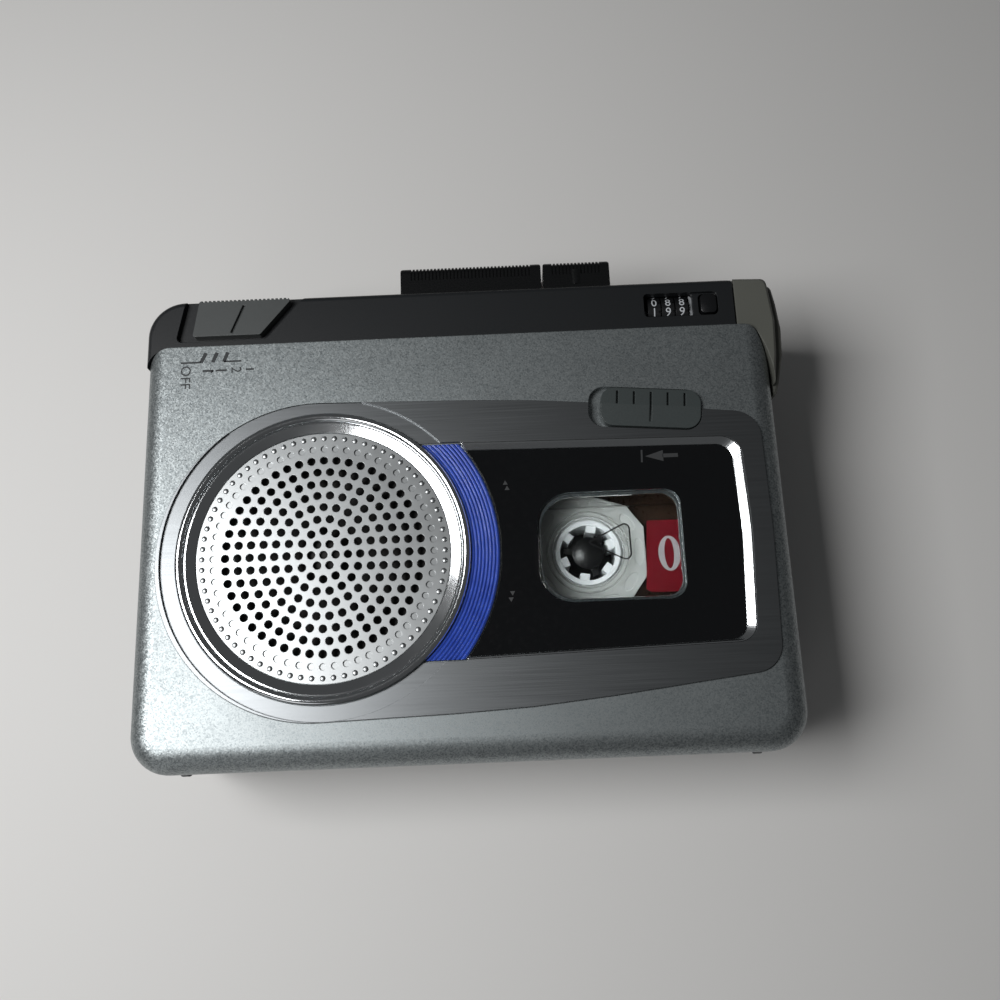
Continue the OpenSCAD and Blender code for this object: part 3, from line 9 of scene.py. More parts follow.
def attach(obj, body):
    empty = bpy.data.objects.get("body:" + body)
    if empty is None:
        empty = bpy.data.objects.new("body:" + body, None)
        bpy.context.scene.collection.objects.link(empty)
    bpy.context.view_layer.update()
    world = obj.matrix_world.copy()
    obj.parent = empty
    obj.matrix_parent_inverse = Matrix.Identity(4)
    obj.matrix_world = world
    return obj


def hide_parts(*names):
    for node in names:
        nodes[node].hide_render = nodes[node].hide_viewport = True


# Small cassette recorder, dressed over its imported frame. X runs along the
# long side, Y from the hinge edge to the keys, Z up from the flat back.
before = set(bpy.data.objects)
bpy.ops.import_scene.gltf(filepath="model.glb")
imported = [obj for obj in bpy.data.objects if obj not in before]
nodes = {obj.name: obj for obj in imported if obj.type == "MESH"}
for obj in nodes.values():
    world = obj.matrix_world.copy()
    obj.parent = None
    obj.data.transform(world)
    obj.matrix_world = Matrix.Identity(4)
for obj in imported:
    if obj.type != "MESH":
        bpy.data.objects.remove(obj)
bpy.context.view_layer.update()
MM = 0.001


# ---- Camera ----
# Held by hand over the recorder, a little towards the hinge edge. Its place
# and turn are worked out from the recorder's own edges.

camera = bpy.data.objects.new("camera", bpy.data.cameras.new("camera"))
camera.data.lens = 34.35
camera.data.sensor_width = 36
camera.matrix_world = Matrix((
    (0.99913, 0.04158, 0.00402, 0.00773),
    (-0.03931, 0.96831, -0.24663, -0.04076),
    (-0.01415, 0.24626, 0.96910, 0.20175),
    (0, 0, 0, 1),
))
bpy.context.collection.objects.link(camera)
bpy.context.scene.camera = camera


# ---- Cabinet and battery door ----
# The back half, its door and the ribbed walls are injection-moulded ABS in
# dark grey. The mould is spark-eroded, so the skin has a fine even grain.

def linear(shade):
    """An sRGB hex value as linear red, green, blue and alpha: below 0.04045 a channel is divided by
    12.92, above it is ((c + 0.055) / 1.055) to the power 2.4."""
    channels = np.array([int(shade[i:i + 2], 16) / 255 for i in (1, 3, 5)])
    light = np.where(channels <= 0.04045, channels / 12.92, ((channels + 0.055) / 1.055) ** 2.4)
    return tuple(light.tolist()) + (1,)


def shades(colour, spread):
    """A linear colour made darker and lighter by the share spread, no channel above 1."""
    return [tuple(min(c * k, 1) for c in colour[:3]) + (1,) for k in (1 - spread, 1 + spread)]


def add(tree, kind, inputs=None, **settings):
    """Adds one shader node, gives it its settings, and fills each socket named in inputs with a
    value or with a link from another node's output."""
    node = tree.nodes.new(kind)
    for name, value in settings.items():
        setattr(node, name, value)
    for name, value in (inputs or {}).items():
        if isinstance(value, bpy.types.NodeSocket):
            tree.links.new(value, node.inputs[name])
        else:
            node.inputs[name].default_value = value
    return node


def blank_finish(name):
    """A new material with an empty tree, and the tree."""
    material = bpy.data.materials.new(name)
    material.use_nodes = True
    material.node_tree.nodes.clear()
    return material, material.node_tree


def moulded(name, shade, roughness, grain=0.22, depth=0.012, edge=0.15, tone=0.12, coat=0):
    """Moulded plastic: its colour drifts by the share tone over a few centimetres, its grain of so
    many millimetres lifts the surface by depth and varies the roughness, and its edges are rounded
    by edge millimetres."""
    material, tree = blank_finish(name)
    place = add(tree, "ShaderNodeTexCoord").outputs["Object"]
    drift = add(tree, "ShaderNodeTexNoise", {"Vector": place, "Scale": 1 / (25 * MM), "Detail": 3})
    dark, light = shades(linear(shade), tone)
    tones = add(tree, "ShaderNodeMix", {
        "Factor": drift.outputs["Fac"], "A": dark, "B": light,
    }, data_type="RGBA")
    fine = add(tree, "ShaderNodeTexNoise", {
        "Vector": place, "Scale": 1 / (grain * MM), "Detail": 2, "Roughness": 0.6,
    })
    rough = add(tree, "ShaderNodeMapRange", {
        "Value": fine.outputs["Fac"], "From Min": 0.3, "From Max": 0.7,
        "To Min": roughness - 0.06, "To Max": roughness + 0.06,
    })
    edges = add(tree, "ShaderNodeBevel", {"Radius": edge * MM}, samples=4)
    bump = add(tree, "ShaderNodeBump", {
        "Height": fine.outputs["Fac"], "Distance": depth * MM, "Normal": edges.outputs["Normal"],
    })
    plastic = add(tree, "ShaderNodeBsdfPrincipled", {
        "Base Color": tones.outputs["Result"], "Roughness": rough.outputs["Result"],
        "Normal": bump.outputs["Normal"], "IOR": 1.53, "Coat Weight": coat, "Coat Roughness": 0.12,
    })
    add(tree, "ShaderNodeOutputMaterial", {"Surface": plastic.outputs["BSDF"]})
    return material


def dress(material, *names):
    """Puts a material on every slot of the CAD nodes named."""
    for name in names:
        for slot in nodes[name].material_slots:
            slot.material = material


dark_abs = moulded("spark_eroded_dark_abs", "#2f3134", 0.5)
dress(dark_abs, "rear_cabinet", "battery_door")


# ---- Battery bay ----
# Two cells with printed foil sleeves lie end to end along the hinge edge,
# between nickel-plated spring contacts.

def plated(name, shade, roughness, grain=0.3, depth=0.004, patchy=0.22, edge=0.08):
    """Plated or drawn metal: soft blotches a few millimetres wide vary its roughness by the share
    patchy, and a fine grain lifts it by depth millimetres."""
    material, tree = blank_finish(name)
    place = add(tree, "ShaderNodeTexCoord").outputs["Object"]
    blotch = add(tree, "ShaderNodeTexNoise", {"Vector": place, "Scale": 1 / (4 * MM), "Detail": 4})
    rough = add(tree, "ShaderNodeMapRange", {
        "Value": blotch.outputs["Fac"], "From Min": 0.3, "From Max": 0.7,
        "To Min": roughness * (1 - patchy), "To Max": roughness * (1 + patchy),
    })
    fine = add(tree, "ShaderNodeTexNoise", {"Vector": place, "Scale": 1 / (grain * MM), "Detail": 2})
    edges = add(tree, "ShaderNodeBevel", {"Radius": edge * MM}, samples=4)
    bump = add(tree, "ShaderNodeBump", {
        "Height": fine.outputs["Fac"], "Distance": depth * MM, "Normal": edges.outputs["Normal"],
    })
    shell = add(tree, "ShaderNodeBsdfPrincipled", {
        "Base Color": linear(shade), "Metallic": 1.0,
        "Roughness": rough.outputs["Result"], "Normal": bump.outputs["Normal"],
    })
    add(tree, "ShaderNodeOutputMaterial", {"Surface": shell.outputs["BSDF"]})
    return material


dress(plated("nickel_plated_spring_steel", "#d3d5d8", 0.28), "battery_contacts")
sleeve = moulded("printed_foil_sleeve", "#a87a34", 0.32, grain=0.5, depth=0.003, tone=0.2, coat=0.6)
dress(sleeve, "battery_cells")


# ---- Chassis and fastenings ----
# The chassis is charcoal ABS. The screws are zinc-plated steel, the hinge
# pins bright drawn wire.

dress(moulded("charcoal_abs_chassis", "#3a3c3f", 0.55, grain=0.35), "chassis")
dress(plated("zinc_plated_screw", "#bfc2c6", 0.3), "cabinet_screws", "hinge_pins")


# ---- Circuit board ----
# Green solder mask over copper on glass-fibre board, with the parts on top.

def solder_mask():
    """Solder mask: thin copper tracks 0.5 mm wide, drawn by a brick pattern, show through the green
    lacquer as a lighter tone."""
    material, tree = blank_finish("green_solder_mask")
    place = add(tree, "ShaderNodeTexCoord").outputs["Object"]
    tracks = add(tree, "ShaderNodeTexBrick", {
        "Vector": place, "Scale": 1,
        "Mortar Size": 0.25 * MM, "Brick Width": 6 * MM, "Row Height": 1.6 * MM,
        "Color1": linear("#2f5a2c"), "Color2": linear("#27502a"), "Mortar": linear("#5b8a48"),
    })
    board = add(tree, "ShaderNodeBsdfPrincipled", {
        "Base Color": tracks.outputs["Color"], "Roughness": 0.35,
        "Coat Weight": 0.5, "Coat Roughness": 0.15,
    })
    add(tree, "ShaderNodeOutputMaterial", {"Surface": board.outputs["BSDF"]})
    return material


dress(solder_mask(), "circuit_board")


# ---- Motor, flywheel and belt ----
# A drawn steel motor can, a turned brass flywheel with its fine lathe
# marks, a sintered bronze bush and a black rubber belt.

# A ring wave at scale 1 comes back after this distance
RING_WAVE = math.pi / 10


def turned(name, shade, roughness, centre, pitch=0.36, depth=0.006):
    """Turned metal: rings of the tool's feed, pitch millimetres apart about centre, lift and dull
    the surface."""
    material, tree = blank_finish(name)
    place = add(tree, "ShaderNodeTexCoord").outputs["Object"]
    about = add(tree, "ShaderNodeMapping", {
        "Vector": place, "Location": (-centre[0] * MM, -centre[1] * MM, 0),
    })
    rings = add(tree, "ShaderNodeTexWave", {
        "Vector": about.outputs["Vector"], "Scale": RING_WAVE / (pitch * MM), "Distortion": 0.4,
    }, wave_type="RINGS", rings_direction="Z")
    rough = add(tree, "ShaderNodeMapRange", {
        "Value": rings.outputs["Fac"], "To Min": roughness * 0.7, "To Max": roughness * 1.3,
    })
    edges = add(tree, "ShaderNodeBevel", {"Radius": 0.1 * MM}, samples=4)
    bump = add(tree, "ShaderNodeBump", {
        "Height": rings.outputs["Fac"], "Distance": depth * MM, "Normal": edges.outputs["Normal"],
    })
    metal = add(tree, "ShaderNodeBsdfPrincipled", {
        "Base Color": linear(shade), "Metallic": 1.0,
        "Roughness": rough.outputs["Result"], "Normal": bump.outputs["Normal"],
    })
    add(tree, "ShaderNodeOutputMaterial", {"Surface": metal.outputs["BSDF"]})
    return material


CAPSTAN = (-24.0, 22.9)
MOTOR = (38, 24)
dress(plated("drawn_steel_can", "#a9acb0", 0.32), "motor")
dress(turned("turned_brass_flywheel", "#b08d57", 0.24, CAPSTAN), "flywheel")
dress(turned("turned_brass_pulley", "#c9a35a", 0.22, MOTOR), "motor_pulley")
dress(plated("sintered_bronze", "#b3894a", 0.5, grain=0.15, depth=0.01), "capstan_bush")
dress(moulded("black_belt_rubber", "#1a1a1b", 0.75, grain=0.15, depth=0.01), "drive_belt", "pinch_roller")


# ---- Heads ----
# The play head's core is polished mu-metal in a drawn shield; the erase
# head is cast in dark resin. Both stand on a stamped, zinc-plated plate.

dress(plated("stamped_zinc_plate", "#b4b7bb", 0.34), "head_base")
dress(plated("polished_head_shield", "#c5c7ca", 0.16), "play_head")
dress(moulded("cast_resin_head", "#4b4e52", 0.4), "erase_head")


# ---- Spindles ----
# Black acetal, which is waxy and a little shiny.

black_acetal = moulded("black_acetal", "#0b0c0d", 0.34, grain=0.4, depth=0.002)
dress(black_acetal, "supply_spindle", "takeup_spindle")


# ---- Cassette ----
# A clear moulded shell on white acetal hubs, each with a ten-sided flange,
# and brown tape wound on them. Two clear collars stand round each hub
# opening. The label is one printed red block with the side's plain numeral.
# Its red is written darker than the ink itself, as painted shade in the
# recess under the window.

def clear_plastic(name, shade, roughness, scratch, passes, ior):
    """Clear plastic: glass whose shadow passes the lamps' light on in the colour passes. Fine wear,
    a fifth of a millimetre wide, varies its roughness."""
    material, tree = blank_finish(name)
    place = add(tree, "ShaderNodeTexCoord").outputs["Object"]
    wear = add(tree, "ShaderNodeTexNoise", {"Vector": place, "Scale": 1 / (0.2 * MM), "Detail": 3})
    rough = add(tree, "ShaderNodeMapRange", {
        "Value": wear.outputs["Fac"], "From Min": 0.35, "From Max": 0.75,
        "To Min": roughness, "To Max": roughness + scratch,
    })
    glass = add(tree, "ShaderNodeBsdfPrincipled", {
        "Base Color": linear(shade), "Roughness": rough.outputs["Result"],
        "Transmission Weight": 1.0, "IOR": ior,
    })
    lets_by = add(tree, "ShaderNodeBsdfTransparent", {"Color": linear(passes)})
    ray = add(tree, "ShaderNodeLightPath")
    both = add(tree, "ShaderNodeMixShader", {
        0: ray.outputs["Is Shadow Ray"], 1: glass.outputs["BSDF"], 2: lets_by.outputs["BSDF"],
    })
    add(tree, "ShaderNodeOutputMaterial", {"Surface": both.outputs["Shader"]})
    return material


def wound_tape():
    """Wound tape: streaks 0.6 mm wide vary its brown and its shine, as the edges of its turns do."""
    material, tree = blank_finish("wound_oxide_tape")
    place = add(tree, "ShaderNodeTexCoord").outputs["Object"]
    streak = add(tree, "ShaderNodeTexNoise", {"Vector": place, "Scale": 1 / (0.6 * MM), "Detail": 4})
    tones = add(tree, "ShaderNodeMix", {
        "Factor": streak.outputs["Fac"], "A": linear("#2a1d16"), "B": linear("#4a3527"),
    }, data_type="RGBA")
    rough = add(tree, "ShaderNodeMapRange", {
        "Value": streak.outputs["Fac"], "To Min": 0.2, "To Max": 0.4,
    })
    tape = add(tree, "ShaderNodeBsdfPrincipled", {
        "Base Color": tones.outputs["Result"], "Roughness": rough.outputs["Result"], "IOR": 1.6,
    })
    add(tree, "ShaderNodeOutputMaterial", {"Surface": tape.outputs["BSDF"]})
    return material


white_acetal = moulded("white_acetal", "#eef1f2", 0.4, grain=0.5, depth=0.006, tone=0.03)
smoke_clear = clear_plastic("clear_styrene", "#e6e6e4", 0.02, 0.03, "#e0e0de", 1.22)
dress(smoke_clear, "cassette_front", "cassette_back")
dress(white_acetal, "supply_hub", "takeup_hub", "guide_roller_left", "guide_roller_right")
dress(wound_tape(), "supply_pack", "takeup_pack", "tape_run")

SHELL_TOP = 26.75
HUBS = {"supply": (23.0, -7.05), "takeup": (-19.5, -7.05)}


def mesh_piece(name, points, faces, material, smooth=True):
    """A piece from arrays of points in millimetres and of faces, all triangles or all quads."""
    mesh = bpy.data.meshes.new(name)
    mesh.from_pydata((np.asarray(points, float) * MM).tolist(), [], np.asarray(faces).tolist())
    mesh.polygons.foreach_set("use_smooth", np.full(len(mesh.polygons), smooth))
    mesh.materials.append(material)
    mesh.validate()
    piece = bpy.data.objects.new(name, mesh)
    bpy.context.collection.objects.link(piece)
    return piece


def revolve(profile, centre, sides):
    """Points and quads of a closed profile turned about an upright axis: point (i, j) is centre
    plus radius j in direction 2 pi i / sides, at height j. The profile's last point joins its
    first."""
    profile = np.asarray(profile, float)
    turn = np.arange(sides) * 2 * np.pi / sides
    points = np.stack([
        centre[0] + profile[None, :, 0] * np.cos(turn)[:, None],
        centre[1] + profile[None, :, 0] * np.sin(turn)[:, None],
        np.broadcast_to(profile[None, :, 1], (sides, len(profile))),
    ], axis=-1)
    i, j = np.meshgrid(np.arange(sides), np.arange(len(profile)), indexing="ij")
    i1, j1 = (i + 1) % sides, (j + 1) % len(profile)
    n = len(profile)
    faces = np.stack([i * n + j, i1 * n + j, i1 * n + j1, i * n + j1], axis=-1)
    return points.reshape(-1, 3), faces.reshape(-1, 4)


def bead_profile(radius, width, foot, height):
    """A half-round bead: a foot of that width at that radius, and over it an arc that rises to
    height."""
    arc = np.linspace(0, np.pi, 9)
    return np.stack([radius + width / 2 * np.cos(arc), foot + height * np.sin(arc)], axis=-1)


def merged(parts):
    """Several pairs of points and faces as one pair, each part's faces moved on by the points
    before it."""
    starts = np.cumsum([0] + [len(p) for p, _ in parts[:-1]])
    return np.concatenate([p for p, _ in parts]), np.concatenate([f + s for (_, f), s in zip(parts, starts)])


COLLAR_R = (6.65, 7.6)
COLLAR_W = 0.34
COLLAR_H = 0.6
SUNK = 0.02
for side, hub in HUBS.items():
    bars = [bead_profile(r, COLLAR_W, SHELL_TOP - SUNK, COLLAR_H)[::-1] for r in COLLAR_R]
    beads = merged([revolve(bar, hub, 96) for bar in bars])
    collar = mesh_piece(f"clear_collars_{side}", *beads, smoke_clear)
    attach(collar, "body")


def printed(name, shade, roughness=0.45):
    """Screen-printed ink: a plain colour that a fine grain of 0.1 mm thins here and there, as ink
    on a rough ground does."""
    material, tree = blank_finish(name)
    place = add(tree, "ShaderNodeTexCoord").outputs["Object"]
    grain = add(tree, "ShaderNodeTexNoise", {"Vector": place, "Scale": 1 / (0.1 * MM), "Detail": 2})
    dark, light = shades(linear(shade), 0.15)
    tones = add(tree, "ShaderNodeMix", {
        "Factor": grain.outputs["Fac"], "A": dark, "B": light,
    }, data_type="RGBA")
    ink = add(tree, "ShaderNodeBsdfPrincipled", {
        "Base Color": tones.outputs["Result"], "Roughness": roughness,
    })
    add(tree, "ShaderNodeOutputMaterial", {"Surface": ink.outputs["BSDF"]})
    return material


def slab(outline, low, high):
    """Points and triangles of a convex outline raised from low to high: the outline at both heights
    and a centre on each, joined by fans and by a wall."""
    outline = np.asarray(outline, float)
    n = len(outline)
    mid = outline.mean(axis=0)
    points = np.concatenate([
        np.column_stack([outline, np.full(n, low)]), np.column_stack([outline, np.full(n, high)]),
        [[*mid, low], [*mid, high]],
    ])
    i = np.arange(n)
    j = (i + 1) % n
    faces = np.concatenate([
        np.stack([i, j, j + n], axis=-1), np.stack([i, j + n, i + n], axis=-1),
        np.stack([j, i, np.full(n, 2 * n)], axis=-1),
        np.stack([i + n, j + n, np.full(n, 2 * n + 1)], axis=-1),
    ])
    return points, faces


def ellipse(centre, half_x, half_y, count=64):
    """Points of an ellipse, evenly spaced in angle."""
    turn = np.arange(count) * 2 * np.pi / count
    return np.column_stack([centre[0] + half_x * np.cos(turn), centre[1] + half_y * np.sin(turn)])


def band(outer, inner, low, high):
    """Points and quads of the flat band between two outlines of equal count, raised from low to
    high."""
    n = len(outer)
    corners = ((outer, low), (outer, high), (inner, high), (inner, low))
    points = np.concatenate([np.column_stack([o, np.full(n, z)]) for o, z in corners])
    i, j = np.meshgrid(np.arange(len(corners)), np.arange(n), indexing="ij")
    i1, j1 = (i + 1) % len(corners), (j + 1) % n
    faces = np.stack([i * n + j, i * n + j1, i1 * n + j1, i1 * n + j], axis=-1)
    return points, faces.reshape(-1, 4)


LABEL_TOP = SHELL_TOP + 0.04
NUMERAL_TOP = LABEL_TOP + 0.03
BLOCK = [(33.3, -14.4), (34.2, -15.0), (44, -15.0), (44, -1.5), (34.3, -1.5)]
# The red is darker than the real ink: it includes painted shade for the dim recess under the window.
red_ink_with_painted_shade = printed("red_label_ink_with_painted_shade", "#6e0b18", 0.3)
red_block = mesh_piece("label_red_block", *slab(BLOCK, SHELL_TOP - SUNK, LABEL_TOP), red_ink_with_painted_shade, smooth=False)
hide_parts("cassette_label")
outer, inner = ellipse((38.05, -7.85), 2.05, 3.3), ellipse((38.0, -7.85), 0.87, 2.85)
zero = band(outer, inner, LABEL_TOP - 0.01, NUMERAL_TOP)
numeral = mesh_piece("label_numeral", *zero, printed("white_label_ink", "#a8a4a5", 0.5), smooth=False)
for piece in (red_block, numeral):
    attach(piece, "body")

# The flange's sides lie at two distances by turns. A dimple's middle is
# DIMPLE_OUT from the axis; its half-widths are outward, then along a side.
FLANGE_FLATS = 10
FLANGE_FAR = (10.8, 11.47)
FLANGE_IN = 5.9
FLANGE_LOW = 24.4
FLANGE_HIGH = 25.45
DIMPLE_OUT = 9.55
DIMPLE_HALF = ((0.85, 2.5), (0.85, 1.9))
DIMPLE_DEEP = 0.6
# A side counts for the directions within this many radians of its normal
SIDE_REACH = 1.2


def hub_flange(centre, rows=48, sides=480):
    """A ten-sided flange with an oval dimple along each side, on a grid of angle and radius. The
    rim in a direction is the nearest of the ten sides' distances over the cosine to that side, long
    and short sides taking turns. In a dimple the top drops by the depth times the root of one minus
    the squared distance from its middle, measured in its two half-widths."""
    turn = np.arange(sides) * 2 * np.pi / sides
    normals = np.arange(FLANGE_FLATS) * 2 * np.pi / FLANGE_FLATS
    far = np.tile(FLANGE_FAR, FLANGE_FLATS // 2)
    off = (turn[:, None] - normals + np.pi) % (2 * np.pi) - np.pi
    reach = far / np.cos(np.clip(off, -SIDE_REACH, SIDE_REACH))
    rim = np.where(np.abs(off) < SIDE_REACH, reach, np.inf).min(axis=1)
    share = np.linspace(1, 0, rows)
    radius = FLANGE_IN + (rim[:, None] - FLANGE_IN) * share
    x, y = radius * np.cos(turn)[:, None], radius * np.sin(turn)[:, None]
    drop = np.zeros_like(x)
    for k, normal in enumerate(normals):
        half_out, half_along = DIMPLE_HALF[k % 2]
        out = x * np.cos(normal) + y * np.sin(normal) - DIMPLE_OUT
        along = y * np.cos(normal) - x * np.sin(normal)
        inside = 1 - (out / half_out) ** 2 - (along / half_along) ** 2
        drop += DIMPLE_DEEP * np.sqrt(np.clip(inside, 0, 1))
    top = np.stack([centre[0] + x, centre[1] + y, FLANGE_HIGH - drop], axis=-1)
    low = np.full(sides, FLANGE_LOW)
    under = np.stack([
        np.stack([centre[0] + r * np.cos(turn), centre[1] + r * np.sin(turn), low], axis=-1)
        for r in (FLANGE_IN, rim)
    ], axis=1)
    grid = np.concatenate([under, top], axis=1)
    count = grid.shape[1]
    i, j = np.meshgrid(np.arange(sides), np.arange(count), indexing="ij")
    i1, j1 = (i + 1) % sides, (j + 1) % count
    faces = np.stack([i * count + j, i1 * count + j, i1 * count + j1, i * count + j1], axis=-1)
    return grid.reshape(-1, 3), faces.reshape(-1, 4)


for side, hub in HUBS.items():
    flange = mesh_piece(f"hub_flange_{side}", *hub_flange(hub), white_acetal)
    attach(flange, f"{side}_reel")

# The shell is a shade thicker beside the window, which leaves a low step.
STEP_X = (14.2, 39.4)
STEP_Y = (1.35, 1.62)
STEP_H = 0.35
step_x, step_y = np.meshgrid(STEP_X, (STEP_Y[1], STEP_Y[0], STEP_Y[0], STEP_Y[1]), indexing="ij")
step_z = np.broadcast_to(SHELL_TOP + np.array([-SUNK, -SUNK, STEP_H, STEP_H]), step_x.shape)
step_points = np.stack([step_x, step_y, step_z], axis=-1).reshape(-1, 3)
step_faces = [(0, 1, 5, 4), (1, 2, 6, 5), (2, 3, 7, 6), (3, 0, 4, 7), (3, 2, 1, 0), (4, 5, 6, 7)]
step = mesh_piece("shell_step", step_points, step_faces, smoke_clear, smooth=False)
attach(step, "body")


# ---- Key panel and end cap ----
# The long dark panel and the olive-grey end cap are moulded ABS with a
# satin skin. The panel's face is almost black beside the lid.

dress(moulded("satin_black_abs", "#1a1c1e", 0.38, grain=0.25, depth=0.008), "key_panel")
dress(moulded("olive_grey_abs", "#5a5b55", 0.5, grain=0.3, depth=0.01, edge=0.25), "end_cap")
dress(moulded("black_socket_resin", "#202123", 0.36), "mic_jack", "ear_jack")
dress(plated("capsule_shell", "#b9bcc0", 0.3), "mic_capsule")
dress(moulded("black_wheel_abs", "#1c1d1f", 0.45), "volume_wheel")


# ---- Keys ----
# Glossier black ABS, ribbed across the top by the mould. The record key is
# the same moulding in red.

black_key_abs = moulded("black_key_abs", "#0a0b0c", 0.28, grain=0.3, depth=0.004, edge=0.12)
dress(black_key_abs, "play_key", "stop_key", "rewind_key", "forward_key")
dress(moulded("red_key_abs", "#8e1b22", 0.36, grain=0.3, depth=0.006, edge=0.12), "record_key")
dress(moulded("grey_knob_abs", "#424545", 0.45, grain=0.25, depth=0.01, edge=0.2), "switch_knob")


# ---- Counter ----
# Three black number wheels on a steel shaft, seen through a slot. Their
# figures are moulded in white, ten round each rim, tops to the keys. The
# wheels stand between two figures.

dress(moulded("pressed_counter_frame", "#8f9295", 0.4), "counter_frame")
wheel_acetal = moulded("black_wheel_acetal", "#121315", 0.4, grain=0.4, depth=0.005, edge=0.08)
dress(wheel_acetal, "counter_units", "counter_tens", "counter_hundreds")
dress(moulded("black_button_abs", "#111214", 0.3, edge=0.25), "reset_button")

figure_ink = printed("white_figure_ink", "#c2c6ca")
WHEEL_Y = 39.0
WHEEL_Z = 30.0
WHEEL_R = 3.1
# Each wheel's node, its place along X and the figure nearest the slot
WHEELS = (("counter_hundreds", 38.1, 0), ("counter_tens", 40.75, 8), ("counter_units", 43.4, 8))
FIGURE_SIZE = 2.3
FIGURE_RISE = 0.03
# Degrees from figure to figure, and how far past one the wheels stand
FIGURE_STEP = 36
WHEELS_PAST = 16
LONGEST_EDGE = 0.35


def glyph(text, size):
    """One word as a flat mesh about the origin: points in millimetres and triangles, centred, with
    its edges cut towards LONGEST_EDGE so that it can bend."""
    curve = bpy.data.curves.new("word", "FONT")
    curve.body = text
    curve.size = size
    curve.align_x = "CENTER"
    curve.align_y = "CENTER"
    curve.resolution_u = 3
    word = bpy.data.objects.new("word", curve)
    bpy.context.collection.objects.link(word)
    bpy.context.view_layer.update()
    mesh = bpy.data.meshes.new_from_object(word)
    bm = bmesh.new()
    bm.from_mesh(mesh)
    bmesh.ops.remove_doubles(bm, verts=bm.verts, dist=0.001)
    for _ in range(4):
        long_edges = [e for e in bm.edges if e.calc_length() > LONGEST_EDGE]
        if not long_edges:
            break
        bmesh.ops.subdivide_edges(bm, edges=long_edges, cuts=1)
        bmesh.ops.triangulate(bm, faces=bm.faces)
    bmesh.ops.triangulate(bm, faces=bm.faces)
    bmesh.ops.recalc_face_normals(bm, faces=bm.faces)
    points = np.array([v.co[:] for v in bm.verts])
    faces = np.array([[v.index for v in f.verts] for f in bm.faces])
    bm.free()
    bpy.data.meshes.remove(mesh)
    bpy.data.objects.remove(word)
    bpy.data.curves.remove(curve)
    a, b, c = (points[faces[:, k], :2] for k in range(3))
    flipped = (b - a)[:, 0] * (c - a)[:, 1] - (b - a)[:, 1] * (c - a)[:, 0] < 0
    faces[flipped] = faces[flipped][:, ::-1]
    return points, faces


def thick(points, faces, rise):
    """A flat figure with a back: the same points again, rise lower, with the faces turned round."""
    low = points - np.array([0, 0, rise])
    return np.concatenate([points, low]), np.concatenate([faces, faces[:, ::-1] + len(points)])


figures = [glyph(str(k), FIGURE_SIZE) for k in range(10)]
for wheel, x, shown in WHEELS:
    ring = []
    for k in range(10):
        points, faces = figures[(k + shown) % 10]
        turn = math.radians(FIGURE_STEP * k - WHEELS_PAST) - points[:, 1] / WHEEL_R
        radius = WHEEL_R + FIGURE_RISE
        ring.append((np.column_stack([
            x + points[:, 0], WHEEL_Y - radius * np.sin(turn), WHEEL_Z + radius * np.cos(turn),
        ]), faces))
    rim = mesh_piece(f"{wheel}_figures", *merged(ring), figure_ink)
    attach(rim, wheel)


# ---- Lid ----
# Moulded ABS sprayed with silver paint: aluminium flake of a few tenths of
# a millimetre in a clear binder, so it sparkles and darkens away from light.

def silver_paint():
    """Metallic paint: each flake is one cell 0.22 mm wide with its own tilt and its own tone, under
    a thin dull lacquer."""
    material, tree = blank_finish("sprayed_silver_flake_paint")
    place = add(tree, "ShaderNodeTexCoord").outputs["Object"]
    flake = add(tree, "ShaderNodeTexVoronoi", {"Vector": place, "Scale": 1 / (0.22 * MM)})
    grey = add(tree, "ShaderNodeSeparateColor", {"Color": flake.outputs["Color"]})
    tones = add(tree, "ShaderNodeMix", {
        "Factor": grey.outputs["Red"], "A": linear("#6e7476"), "B": linear("#a8aeaf"),
    }, data_type="RGBA")
    edges = add(tree, "ShaderNodeBevel", {"Radius": 0.2 * MM}, samples=4)
    tilt = add(tree, "ShaderNodeVectorMath", {
        0: flake.outputs["Color"], 1: (0.5, 0.5, 0.5),
    }, operation="SUBTRACT")
    small = add(tree, "ShaderNodeVectorMath", {
        0: tilt.outputs["Vector"], "Scale": 0.12,
    }, operation="SCALE")
    leaned = add(tree, "ShaderNodeVectorMath", {
        0: small.outputs["Vector"], 1: edges.outputs["Normal"],
    }, operation="ADD")
    normal = add(tree, "ShaderNodeVectorMath", {0: leaned.outputs["Vector"]}, operation="NORMALIZE")
    drift = add(tree, "ShaderNodeTexNoise", {"Vector": place, "Scale": 1 / (12 * MM), "Detail": 3})
    rough = add(tree, "ShaderNodeMapRange", {
        "Value": drift.outputs["Fac"], "To Min": 0.42, "To Max": 0.5,
    })
    paint = add(tree, "ShaderNodeBsdfPrincipled", {
        "Base Color": tones.outputs["Result"], "Metallic": 0.9, "Roughness": rough.outputs["Result"],
        "Normal": normal.outputs["Vector"], "Coat Weight": 0.15, "Coat Roughness": 0.3,
    })
    add(tree, "ShaderNodeOutputMaterial", {"Surface": paint.outputs["BSDF"]})
    return material


dress(silver_paint(), "lid_shell")
dress(moulded("black_liner_abs", "#2b2d30", 0.55, grain=0.3), "lid_liner")
dress(plated("phosphor_bronze_spring", "#c9a35a", 0.28), "cassette_springs")

# The switch's marks are printed on the paint in dark grey: three slanted
# ticks joined by lines, OFF and two plain numbers.
LID_TOP = 35.0
INK_RISE = 0.02
TICK_W = 0.7
LINE_W = 0.35
WORD_SIZE = 2.7
lid_ink = printed("dark_grey_lid_ink", "#2b2e30", 0.4)


def stroke(a, b, width, height=LID_TOP):
    """A printed straight line: a thin raised quad strip from a to b."""
    a, b = np.array(a, float), np.array(b, float)
    along = (b - a) / np.linalg.norm(b - a)
    across = np.array([-along[1], along[0]]) * width / 2
    return slab([a - across, b - across, b + across, a + across], height - INK_RISE / 2, height + INK_RISE)


